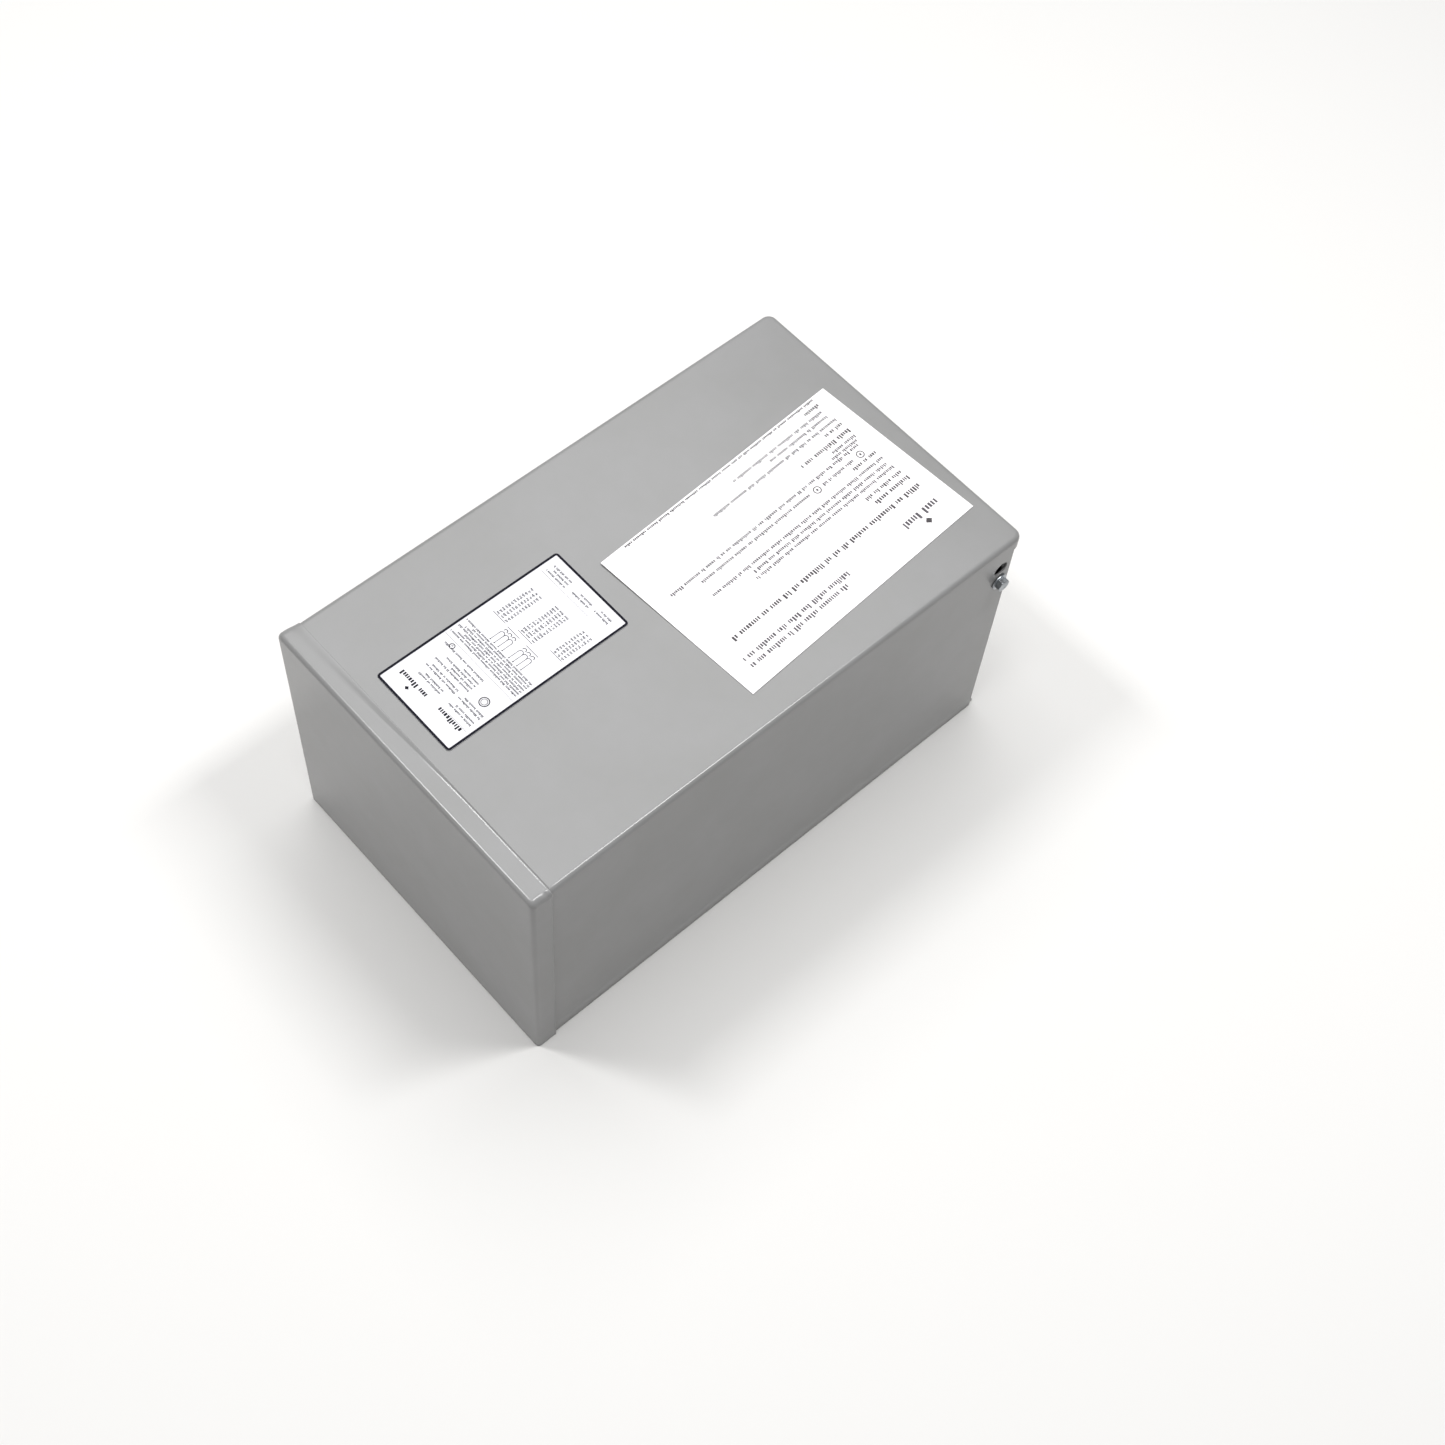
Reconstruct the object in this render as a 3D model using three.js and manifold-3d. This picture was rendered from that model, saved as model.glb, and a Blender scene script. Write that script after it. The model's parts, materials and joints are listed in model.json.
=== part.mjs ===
// Three-phase dry-type transformer in a painted sheet-steel enclosure, lying on its back.
// Millimetres. +X right, +Y towards the top end, +Z out of the front cover, origin on the back face.
import * as THREE from 'three';
import { mergeVertices } from 'three/addons/utils/BufferGeometryUtils.js';
import Module from 'manifold-3d';

const wasm = await Module();
wasm.setup();

// Driving dimensions
const coverWidth = 254;
const coverHeight = 430;
const depth = 216;
const sheet = 1.6;
const lapGap = 0.3;
const bendRadius = 4;
const cornerRadius = 7;
const bandLength = 17;
const lipDepth = 12;
const backClearance = 1;
const panThickness = 2;
const panFlange = 20;
const panelFlange = 30;
const boltFromEnd = 16;
const boltFromFace = 41;
const sealHoleRadius = 6;
const sealHoleFromFace = 26.5;
const limbWidth = 41;
const windowWidth = 37;
const windowHeight = 126;
const stackDepth = 76;
const coreCentreY = 58;
const coreCentreZ = 92;
const coilPitch = limbWidth + windowWidth;
const leadRadius = 1.9;
const formerWidth = 74;
const coilLength = 112;
const clampBoltX = 39;
const clampThickness = 5;
const channelWeb = 3;
const stripThickness = 6;
const keyholeX = 110;
const keyholeY = 195;
const wallSlotY = -165;
const wallHoleRadius = 3.75;
const slugRecess = 0.1;
const footX = 88;
const barrierY = -84;
const barrierHalf = 121;
const barrierFront = 196;
const windowZ = 147;
const windowTall = 24;
const terminalPitch = 24;
const terminalY = -140;
const lugX = 70;
const lugY = -182;

// Conduit knockouts in the bottom panel and wiring windows in the divider
const knockouts = [
  { x: -84, z: 60, radius: 17.3 },
  { x: -30, z: 60, radius: 14.3 },
  { x: 30, z: 60, radius: 14.3 },
  { x: 84, z: 60, radius: 17.3 },
];
const windows = [
  { name: 'primary', x: -50, width: 42 },
  { name: 'secondary', x: 45, width: 50 },
];

// Printed pieces that lie on the cover
const nameplateSize = [73.5, 149.1, 0.4];
const nameplatePlace = [25.6, 111, depth + 0.5];
const leafletSize = [139.7, 215.9, 0.9];
const leafletPlace = [-25.9, -91.9, depth + 0.75];
const leafletTurn = 3.72 * Math.PI / 180;

const halfWidth = coverWidth / 2;
const topEnd = coverHeight / 2;
const bottomEnd = -coverHeight / 2;
const coreBack = coreCentreZ - stackDepth / 2;
const coreFront = coreCentreZ + stackDepth / 2;
const coreHalfWidth = 1.5 * limbWidth + windowWidth;
const limbTop = coreCentreY + windowHeight / 2;
const limbBottom = coreCentreY - windowHeight / 2;
const footBoltY = { top: limbTop + limbWidth + 11, bottom: limbBottom - limbWidth - 11 };
const blockZ = panThickness + lapGap;

const finishes = {
  paint: { color: '#b4b3b2', roughness: 0.42, metalness: 0.15 },
  steel: { color: '#8f8f8c', roughness: 0.4, metalness: 0.9 },
  zinc: { color: '#b9bcbf', roughness: 0.35, metalness: 1 },
  lamination: { color: '#3b3f44', roughness: 0.5, metalness: 0.6 },
  formerBoard: { color: '#c9b58a', roughness: 0.8, metalness: 0 },
  copper: { color: '#b0693c', roughness: 0.4, metalness: 0.9 },
  tape: { color: '#d8d2b4', roughness: 0.6, metalness: 0 },
  rubber: { color: '#222222', roughness: 0.9, metalness: 0 },
  terminalPlastic: { color: '#26282b', roughness: 0.5, metalness: 0 },
  brass: { color: '#c8a04a', roughness: 0.35, metalness: 1 },
  label: { color: '#f2f1f2', roughness: 0.4, metalness: 0 },
  paper: { color: '#f4f2f0', roughness: 0.9, metalness: 0 },
  blackLead: { color: '#1c1c1e', roughness: 0.5, metalness: 0 },
  whiteLead: { color: '#d9d9d5', roughness: 0.5, metalness: 0 },
};

function toSolid(geometry) {
  const plain = geometry.index ? geometry.toNonIndexed() : geometry.clone();
  plain.deleteAttribute('normal');
  plain.deleteAttribute('uv');
  const merged = mergeVertices(plain, 1e-4);
  const mesh = new wasm.Mesh({
    numProp: 3,
    vertProperties: new Float32Array(merged.attributes.position.array),
    triVerts: new Uint32Array(merged.index.array),
  });
  return new wasm.Manifold(mesh);
}

function toGeometry(solid) {
  const mesh = solid.getMesh();
  const geometry = new THREE.BufferGeometry();
  geometry.setAttribute('position', new THREE.BufferAttribute(mesh.vertProperties, 3));
  geometry.setIndex(new THREE.BufferAttribute(mesh.triVerts, 1));
  return geometry;
}

function join(...geometries) {
  return toGeometry(geometries.map(toSolid).reduce((a, b) => a.add(b)));
}

function cut(body, ...tools) {
  return toGeometry(tools.map(toSolid).reduce((a, b) => a.subtract(b), toSolid(body)));
}

function common(a, b) {
  return toGeometry(toSolid(a).intersect(toSolid(b)));
}

// A box from its lowest to its highest corner.
function box(x0, x1, y0, y1, z0, z1) {
  const geometry = new THREE.BoxGeometry(x1 - x0, y1 - y0, z1 - z0);
  return geometry.translate((x0 + x1) / 2, (y0 + y1) / 2, (z0 + z1) / 2);
}

// A cylinder on the axis 'x', 'y' or 'z', from one station to another along it, centred on a and b.
function rod(axis, radius, from, to, a, b, sides = 16) {
  const geometry = new THREE.CylinderGeometry(radius, radius, to - from, sides);
  const middle = (from + to) / 2;
  if (axis === 'x') {
    return geometry.rotateZ(Math.PI / 2).translate(middle, a, b);
  }
  if (axis === 'y') {
    return geometry.translate(a, middle, b);
  }
  return geometry.rotateX(Math.PI / 2).translate(a, b, middle);
}

function roundedRectangle(x0, x1, y0, y1, radius) {
  const shape = new THREE.Shape();
  shape.moveTo(x0 + radius, y0);
  shape.lineTo(x1 - radius, y0);
  shape.absarc(x1 - radius, y0 + radius, radius, -Math.PI / 2, 0);
  shape.lineTo(x1, y1 - radius);
  shape.absarc(x1 - radius, y1 - radius, radius, 0, Math.PI / 2);
  shape.lineTo(x0 + radius, y1);
  shape.absarc(x0 + radius, y1 - radius, radius, Math.PI / 2, Math.PI);
  shape.lineTo(x0, y0 + radius);
  shape.absarc(x0 + radius, y0 + radius, radius, Math.PI, 1.5 * Math.PI);
  return shape;
}

// A block with rounded upright corners and one rounded rim at its front, z1.
function tub(x0, x1, y0, y1, z0, z1, corner, rim) {
  const inset = roundedRectangle(x0 + rim, x1 - rim, y0 + rim, y1 - rim, Math.max(corner - rim, 0.5));
  const geometry = new THREE.ExtrudeGeometry(inset, {
    depth: z1 - z0,
    bevelSize: rim,
    bevelThickness: rim,
    bevelSegments: 3,
    curveSegments: 3,
  });
  geometry.translate(0, 0, z0 - rim);
  return common(geometry, box(x0 - 1, x1 + 1, y0 - 1, y1 + 1, z0, z1 + 1));
}

// A ring or plate with rounded corners in the XZ plane, between two stations along Y.
function slabY(width, height, y0, y1, radius, curveSegments = 2) {
  const shape = roundedRectangle(-width / 2, width / 2, -height / 2, height / 2, radius);
  const geometry = new THREE.ExtrudeGeometry(shape, { depth: y1 - y0, bevelEnabled: false, curveSegments });
  return geometry.rotateX(Math.PI / 2).translate(0, y1, 0);
}

function hexagon(radius, z0, z1) {
  return rod('z', radius, z0, z1, 0, 0, 6);
}

function mesh(name, geometry, finish, position = [0, 0, 0], rotation = [0, 0, 0]) {
  const part = new THREE.Mesh(geometry, new THREE.MeshStandardMaterial(finishes[finish]));
  part.name = name;
  part.position.set(...position);
  part.rotation.set(...rotation);
  return part;
}

// Front face and both side walls in one folded sheet, with a shallow lip over the bottom panel.
function coverWrap() {
  const outer = tub(
    -halfWidth,
    halfWidth,
    bottomEnd,
    topEnd + 20,
    backClearance,
    depth,
    cornerRadius,
    bendRadius,
  );
  const inner = tub(
    -halfWidth + sheet,
    halfWidth - sheet,
    bottomEnd + sheet,
    topEnd + 40,
    backClearance - 5,
    depth - sheet,
    cornerRadius - sheet,
    bendRadius - sheet,
  );
  const wide = coverWidth;
  const openTop = box(-wide, wide, topEnd - cornerRadius - 1, topEnd + 50, -10, depth + 10);
  const openBottom = box(-wide, wide, bottomEnd - 10, bottomEnd + cornerRadius - 1, -10, depth - lipDepth);
  const boltY = bottomEnd + boltFromEnd;
  const boltHole = rod('x', 3.6, -wide, wide, boltY, depth - boltFromFace, 16);
  const sealHole = rod('x', sealHoleRadius, -wide, wide, boltY + 1, depth - sealHoleFromFace, 24);
  return cut(outer, inner, openTop, openBottom, boltHole, sealHole);
}

// Closed top end whose skirt stands one sheet proud of the wrap all round.
function coverEndCap() {
  const rise = sheet + lapGap;
  const outer = tub(
    -halfWidth - rise,
    halfWidth + rise,
    topEnd - 80,
    topEnd,
    backClearance,
    depth + rise,
    cornerRadius,
    bendRadius,
  );
  const inner = tub(
    -halfWidth - lapGap,
    halfWidth + lapGap,
    topEnd - 100,
    topEnd - sheet,
    backClearance - 5,
    depth + lapGap,
    cornerRadius - sheet,
    bendRadius - sheet + lapGap,
  );
  const wide = coverWidth;
  const behindBand = box(-wide, wide, topEnd - 90, topEnd - bandLength, -10, depth + 10);
  return cut(outer, inner, behindBand);
}

// Strap inside the cover's side that holds the bolt's nut behind the bottom panel's flange.
function nutStrap() {
  const gap = sheet + 2 * lapGap;
  const half = 8;
  const jogY = 18;
  const foot = box(0, sheet, jogY, jogY + 14, -half, half);
  const jog = box(0, gap + sheet, jogY, jogY + sheet, -half, half);
  const arm = box(gap, gap + sheet, -half - 1, jogY + sheet, -half, half);
  const weldNut = rod('x', 6.5, gap + 1, gap + 6, 0, 0, 6);
  return cut(join(foot, jog, arm, weldNut), rod('x', 3.5, -1, 20, 0, 0, 16));
}

// Hexagon head with its own washer and a shank that points down Z.
function washerScrew(hexRadius, hexHeight, washerRadius, washerHeight, shankRadius, shankLength) {
  return join(
    hexagon(hexRadius, washerHeight - 0.2, washerHeight + hexHeight),
    rod('z', washerRadius, 0, washerHeight, 0, 0, 16),
    rod('z', shankRadius, -shankLength, 0.1, 0, 0, 10),
  );
}

// A slot through the back panel, from y0 to y1, whose lower end may be wider.
function wallSlot(x, y0, y1, lowerRadius) {
  return join(
    rod('z', lowerRadius, -1, 4, x, y0, 20),
    box(x - wallHoleRadius, x + wallHoleRadius, y0, y1, -1, 4),
    rod('z', wallHoleRadius, -1, 4, x, y1, 16),
  );
}

// Back panel with low flanges along both sides and the top, four wall slots and four bolt holes.
function rearPan() {
  const half = halfWidth - sheet - 0.4;
  const innerHalf = half - panThickness;
  const top = topEnd - sheet - 2;
  const bottom = bottomEnd + 2;
  const above = 3 * panFlange;
  const outer = box(-half, half, bottom, top, 0, panFlange);
  const inner = box(-innerHalf, innerHalf, bottom - 10, top - panThickness, panThickness, above);
  const panelRoom = box(-half - 5, half + 5, bottom - 5, bottom + panelFlange + 2, panThickness, above);
  const holes = [];
  for (const side of [-1, 1]) {
    holes.push(wallSlot(side * keyholeX, keyholeY - 12, keyholeY, 7));
    holes.push(wallSlot(side * keyholeX, wallSlotY - 7, wallSlotY + 7, wallHoleRadius));
    holes.push(rod('z', 3.4, -1, 5, side * footX, footBoltY.top, 14));
    holes.push(rod('z', 3.4, -1, 5, side * footX, footBoltY.bottom, 14));
  }
  return cut(outer, inner, panelRoom, ...holes);
}

// Conduit entry panel: end wall, side flanges with slots open to the front, and a front flange.
function bottomPanel() {
  const half = halfWidth - sheet - lapGap;
  const back = panThickness + lapGap;
  const front = depth - sheet - 0.5;
  const wall = bottomEnd + sheet + lapGap;
  const outer = tub(-half, half, wall, wall + 90, back, front, cornerRadius - sheet, bendRadius - sheet);
  const inner = tub(-half + sheet, half - sheet, wall + sheet, wall + 120, back - 9, front - sheet, 4, 1);
  const wide = coverWidth;
  const tools = [box(-wide, wide, wall + panelFlange, wall + 130, -10, depth + 10)];
  const slotY = bottomEnd + boltFromEnd;
  const slotRadius = 3.9;
  const frontFlangeHalf = 100;
  const frontDepth = 14;
  tools.push(box(-wide, wide, wall + frontDepth, wall + 130, front - sheet - 0.5, depth + 10));
  for (const side of [-1, 1]) {
    const near = side * frontFlangeHalf;
    const far = side * (half - sheet);
    tools.push(box(Math.min(near, far), Math.max(near, far), wall + 4, wall + 130, front - 6, depth + 10));
    const slotMiddle = side * half;
    const slotBack = depth - boltFromFace;
    const x0 = slotMiddle - 6;
    const x1 = slotMiddle + 6;
    tools.push(
      box(x0, x1, slotY - slotRadius, slotY + slotRadius, slotBack, depth + 10),
      rod('x', slotRadius, x0, x1, slotY, slotBack, 16),
    );
  }
  for (const hole of knockouts) {
    tools.push(rod('y', hole.radius, wall - 5, wall + 5, hole.x, hole.z, 24));
  }
  return cut(outer, inner, ...tools);
}

function knockoutSlug(radius) {
  return rod('y', radius - 0.6, -sheet / 2, sheet / 2, 0, 0, 24);
}

// Divider between the coils and the wiring compartment, with a foot along the back panel.
function barrierPlate() {
  const half = barrierHalf;
  const plate = box(-half, half, barrierY - sheet / 2, barrierY + sheet / 2, blockZ, barrierFront);
  const foot = box(-half + 9, half - 9, barrierY - 14, barrierY, blockZ, blockZ + sheet);
  const holes = windows.map((hole) => {
    const opening = slabY(hole.width, windowTall, barrierY - 5, barrierY + 5, windowTall / 2 - 0.5);
    return opening.translate(hole.x, 0, windowZ);
  });
  return cut(join(plate, foot), ...holes);
}

// Rubber edging that grips the divider around a window.
function grommet(width) {
  const wall = 3;
  const lip = 4;
  const reach = 3.4;
  const neck = slabY(width - 2 * lapGap, windowTall - 2 * lapGap, -reach, reach, 11);
  const lips = [-1, 1].map((side) => {
    const near = side * (sheet / 2 + lapGap);
    const far = side * reach;
    return slabY(width + 2 * lip, windowTall + 2 * lip, Math.min(near, far), Math.max(near, far), 15);
  });
  return cut(join(neck, ...lips), slabY(width - 2 * wall, windowTall - 2 * wall, -5, 5, 8.5));
}

function clampHoles(y, z0, z1) {
  return [-1, 1].map((side) => rod('z', 4.4, z0, z1, side * clampBoltX, y, 14));
}

// Three limbs on one yoke; the other yoke is a separate bar that closes the windows.
function coreStack() {
  const shape = new THREE.Shape();
  const yokeBottom = limbBottom - limbWidth;
  shape.moveTo(-coreHalfWidth, yokeBottom);
  shape.lineTo(coreHalfWidth, yokeBottom);
  for (let limb = 1; limb >= -1; limb -= 1) {
    const right = limb * coilPitch + limbWidth / 2;
    const left = limb * coilPitch - limbWidth / 2;
    if (limb < 1) {
      shape.lineTo(right, limbBottom);
    }
    shape.lineTo(right, limbTop);
    shape.lineTo(left, limbTop);
    if (limb > -1) {
      shape.lineTo(left, limbBottom);
    }
  }
  const stack = new THREE.ExtrudeGeometry(shape, { depth: stackDepth, bevelEnabled: false });
  stack.translate(0, 0, coreBack);
  return cut(stack, ...clampHoles(limbBottom - limbWidth / 2, 0, depth));
}

function coreYoke() {
  const half = coreHalfWidth;
  const bar = box(-half, half, limbTop + lapGap, limbTop + limbWidth, coreBack, coreFront);
  return cut(bar, ...clampHoles(limbTop + limbWidth / 2, 0, depth));
}

function frontClamp() {
  const bar = box(-coreHalfWidth, coreHalfWidth, -15, 15, 0, clampThickness);
  return cut(bar, ...clampHoles(0, -1, 9));
}

// U-channel behind a yoke: web against the core, legs down to an out-turned foot.
function rearChannel() {
  const webTop = coreBack - lapGap;
  const footBottom = panThickness + lapGap + stripThickness + lapGap;
  const half = coreHalfWidth;
  const web = box(-half, half, -18, 18, webTop - channelWeb, webTop);
  const innerLeg = box(-half, half, -18, -15, footBottom, webTop);
  const outerLeg = box(-half, half, 15, 18, footBottom, webTop);
  const foot = box(-half, half, 15, 43, footBottom, footBottom + channelWeb);
  const nuts = [-1, 1].map((side) => rod('z', 8, webTop - 11, webTop - 1, side * clampBoltX, 0, 6));
  const holes = clampHoles(0, webTop - 20, webTop + 2);
  for (const side of [-1, 1]) {
    holes.push(rod('z', 3.6, footBottom - 2, footBottom + 6, side * footX, limbWidth / 2 + 11, 14));
  }
  return cut(join(web, innerLeg, outerLeg, foot, ...nuts), ...holes);
}

function isolationStrip() {
  const strip = box(-coreHalfWidth, coreHalfWidth, -15, 15, 0, stripThickness);
  const holes = [-1, 1].map((side) => rod('z', 3.6, -1, 9, side * footX, 0, 14));
  return cut(strip, ...holes);
}

// Board tube with a flange at each end, wound with the two windings.
function windingFormer() {
  const half = windowHeight / 2 - 1;
  const tube = slabY(limbWidth + 5, stackDepth + 5, -half, half, 2);
  const flanges = [-1, 1].map((side) => {
    const y0 = Math.min(side * half, side * (half - 2.5));
    return slabY(formerWidth, formerWidth + stackDepth - limbWidth + 1, y0, y0 + 2.5, 14);
  });
  return cut(join(tube, ...flanges), slabY(limbWidth + 1, stackDepth + 1, -half - 2, half + 2, 1, 1));
}

function windingLayer(innerWidth, outerWidth, length, innerCorner, outerCorner) {
  const extra = stackDepth - limbWidth;
  const outer = slabY(outerWidth, outerWidth + extra, -length / 2, length / 2, outerCorner, 3);
  const inner = slabY(innerWidth, innerWidth + extra, -length, length, innerCorner, 3);
  return cut(outer, inner);
}

function terminalBlock() {
  const half = 3.5 * terminalPitch + 10;
  const body = box(-half, half, -18, 18, 0, 28);
  const tools = [];
  for (let pole = -3; pole <= 3; pole += 1) {
    const x = pole * terminalPitch;
    tools.push(box(x - 9, x + 9, -13, 13, 16, 30));
    tools.push(box(x - 4, x + 4, -20, 20, 17, 30));
    tools.push(rod('z', 2.6, 4, 18, x, 0, 8));
  }
  return cut(body, ...tools);
}

function terminalScrew() {
  return join(
    box(-6, 6, -6, 6, 0, 1.4),
    rod('z', 4.6, 1.3, 5, 0, 0, 12),
    rod('z', 2.2, -10, 0.1, 0, 0, 8),
  );
}

function groundLug() {
  const block = box(-7, 7, -12, 12, 0, 13);
  return cut(block, rod('y', 3.2, -20, 20, 0, 5.5, 16), rod('z', 2.6, 5, 15, 0, -4, 12));
}

function groundScrew() {
  return join(rod('z', 2.3, -5, 0.1, 0, 0, 12), rod('z', 4, 0, 4, 0, 0, 6));
}

function lead(points) {
  const stations = points.map((point) => new THREE.Vector3(...point));
  const curve = new THREE.CatmullRomCurve3(stations, false, 'centripetal');
  const section = new THREE.Shape();
  section.absarc(0, 0, leadRadius, 0, 2 * Math.PI);
  return new THREE.ExtrudeGeometry(section, {
    steps: 20,
    curveSegments: 4,
    bevelEnabled: false,
    extrudePath: curve,
  });
}

// Route of a lead from its coil, through a divider window, down to its terminal.
function leadRoute(startX, startY, layerZ, windowX, pole) {
  const x = pole * terminalPitch;
  return [
    [startX, startY, layerZ],
    [startX, startY - 10, layerZ],
    [startX * 0.75 + windowX * 0.25, limbBottom - 22, layerZ],
    [windowX, barrierY + 14, layerZ],
    [windowX, barrierY - 8, layerZ],
    [windowX * 0.7 + x * 0.3, barrierY - 24, layerZ - 12],
    [windowX * 0.3 + x * 0.7, barrierY - 31, 96],
    [x, barrierY - 30, 50],
    [x, barrierY - 36, blockZ + 27],
    [x, terminalY + 15, blockZ + 22],
    [x, terminalY + 7.5, blockZ + 21.5],
  ];
}

const enclosure = new THREE.Group();
enclosure.add(mesh('rear_pan', rearPan(), 'paint'));
enclosure.add(mesh('bottom_panel', bottomPanel(), 'paint'));
enclosure.add(mesh('wiring_barrier', barrierPlate(), 'zinc'));
for (const hole of windows) {
  enclosure.add(mesh(`${hole.name}_grommet`, grommet(hole.width), 'rubber', [hole.x, barrierY, windowZ]));
}
const slugY = bottomEnd + 1.5 * sheet + lapGap + slugRecess;
knockouts.forEach((hole, index) => {
  const slug = knockoutSlug(hole.radius);
  enclosure.add(mesh(`knockout_slug_${index + 1}`, slug, 'paint', [hole.x, slugY, hole.z]));
});

const cover = new THREE.Group();
cover.add(mesh('cover_wrap', coverWrap(), 'paint'));
cover.add(mesh('cover_end_cap', coverEndCap(), 'paint'));
for (const [name, side] of [['left', -1], ['right', 1]]) {
  const corner = new THREE.Group();
  corner.position.set(side * halfWidth, bottomEnd + boltFromEnd, depth - boltFromFace);
  const bolt = washerScrew(5.4, 4.2, 6.6, 1.3, 3.1, 11);
  corner.add(mesh(`cover_bolt_${name}`, bolt, 'zinc', [side * 0.3, 0, 0], [0, side * Math.PI / 2, 0]));
  const turn = side > 0 ? Math.PI : 0;
  const inset = -side * (sheet + lapGap);
  corner.add(mesh(`nut_strap_${name}`, nutStrap(), 'zinc', [inset, 0, 0], [0, turn, 0]));
  cover.add(corner);
}

cover.add(mesh('nameplate', new THREE.BoxGeometry(...nameplateSize), 'label', nameplatePlace));
const leafletShape = new THREE.BoxGeometry(...leafletSize);
cover.add(mesh('user_leaflet', leafletShape, 'paper', leafletPlace, [0, 0, leafletTurn]));

const core = new THREE.Group();
core.add(mesh('core_limbs', coreStack(), 'lamination'));
core.add(mesh('core_yoke', coreYoke(), 'lamination'));
const yokes = [
  { name: 'top', y: limbTop + limbWidth / 2, turn: 0 },
  { name: 'bottom', y: limbBottom - limbWidth / 2, turn: Math.PI },
];
for (const yoke of yokes) {
  core.add(mesh(`front_clamp_${yoke.name}`, frontClamp(), 'steel', [0, yoke.y, coreFront + lapGap]));
  core.add(mesh(`rear_channel_${yoke.name}`, rearChannel(), 'steel', [0, yoke.y, 0], [0, 0, yoke.turn]));
  const stripY = footBoltY[yoke.name];
  core.add(mesh(`isolation_strip_${yoke.name}`, isolationStrip(), 'rubber', [0, stripY, blockZ]));
  for (const [name, side] of [['left', -1], ['right', 1]]) {
    const clampBolt = washerScrew(7.5, 4, 8.5, 1.5, 4, clampThickness + stackDepth + 9);
    const clampZ = coreFront + clampThickness + 2 * lapGap;
    const clampPlace = [side * clampBoltX, yoke.y, clampZ];
    core.add(mesh(`clamp_bolt_${yoke.name}_${name}`, clampBolt, 'zinc', clampPlace));
    const footBolt = washerScrew(5.6, 4.2, 7, 1.3, 3, 11.2);
    const footZ = panThickness + stripThickness + channelWeb + 3 * lapGap;
    core.add(mesh(`foot_bolt_${yoke.name}_${name}`, footBolt, 'zinc', [side * footX, stripY, footZ]));
  }
}

const coils = new THREE.Group();
['a', 'b', 'c'].forEach((phase, index) => {
  const coil = new THREE.Group();
  coil.position.set((index - 1) * coilPitch, coreCentreY, coreCentreZ);
  coil.add(mesh(`winding_former_${phase}`, windingFormer(), 'formerBoard'));
  coil.add(mesh(`secondary_winding_${phase}`, windingLayer(46.6, 59, coilLength, 2.5, 8), 'copper'));
  coil.add(mesh(`primary_winding_${phase}`, windingLayer(59.6, formerWidth, coilLength, 8.3, 14), 'tape'));
  coils.add(coil);
});

const wiring = new THREE.Group();
wiring.add(mesh('terminal_block', terminalBlock(), 'terminalPlastic', [0, terminalY, blockZ]));
for (let pole = -3; pole <= 3; pole += 1) {
  const place = [pole * terminalPitch, terminalY, blockZ + 16.3];
  wiring.add(mesh(`terminal_screw_${pole + 4}`, terminalScrew(), 'brass', place));
}
const primaryLayer = coreCentreZ + 55 + leadRadius + 0.6;
const secondaryLayer = coreCentreZ + 52;
[-86, -8, 70].forEach((x, index) => {
  const route = leadRoute(x, 30, primaryLayer, -59 + 9 * index, index - 3);
  wiring.add(mesh(`primary_lead_${index + 1}`, lead(route), 'blackLead'));
});
[-70, -1, 11, 86].forEach((x, index) => {
  const route = leadRoute(x, limbBottom + 0.6, secondaryLayer, 32 + 8.5 * index, index);
  wiring.add(mesh(`secondary_lead_${index + 1}`, lead(route), 'whiteLead'));
});
wiring.add(mesh('ground_lug', groundLug(), 'zinc', [lugX, lugY, blockZ]));
wiring.add(mesh('ground_screw', groundScrew(), 'brass', [lugX, lugY - 4, blockZ + 13.3]));

const transformer = new THREE.Group();
transformer.add(enclosure, cover, core, coils, wiring);

export default transformer;
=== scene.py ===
import json
import math
import bmesh
import bpy
import numpy as np
from mathutils import Euler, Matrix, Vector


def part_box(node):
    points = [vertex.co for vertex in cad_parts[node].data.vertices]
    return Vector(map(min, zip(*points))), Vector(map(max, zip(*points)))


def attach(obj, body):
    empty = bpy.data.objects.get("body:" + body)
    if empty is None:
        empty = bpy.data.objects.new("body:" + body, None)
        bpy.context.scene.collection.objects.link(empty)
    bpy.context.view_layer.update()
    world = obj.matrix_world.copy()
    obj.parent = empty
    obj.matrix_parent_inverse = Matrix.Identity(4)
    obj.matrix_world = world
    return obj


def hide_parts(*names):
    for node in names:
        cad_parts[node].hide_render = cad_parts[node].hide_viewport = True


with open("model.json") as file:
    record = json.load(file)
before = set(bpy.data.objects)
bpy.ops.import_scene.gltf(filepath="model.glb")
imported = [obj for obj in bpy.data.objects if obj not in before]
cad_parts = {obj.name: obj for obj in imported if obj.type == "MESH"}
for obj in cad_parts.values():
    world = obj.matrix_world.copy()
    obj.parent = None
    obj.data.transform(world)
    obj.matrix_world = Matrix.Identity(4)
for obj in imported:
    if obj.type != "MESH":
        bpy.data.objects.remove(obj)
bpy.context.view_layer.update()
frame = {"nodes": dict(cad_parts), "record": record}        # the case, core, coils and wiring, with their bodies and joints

mm = 0.001
rng = np.random.default_rng(7)
print("frame loaded,", len(frame["nodes"]), "CAD nodes")


def linearColour(hexText):
    # sRGB hex to linear red, green, blue and alpha
    channels = [int(hexText[i:i + 2], 16) / 255 for i in (1, 3, 5)]
    return [c / 12.92 if c <= 0.04045 else ((c + 0.055) / 1.055) ** 2.4 for c in channels] + [1.0]


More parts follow.
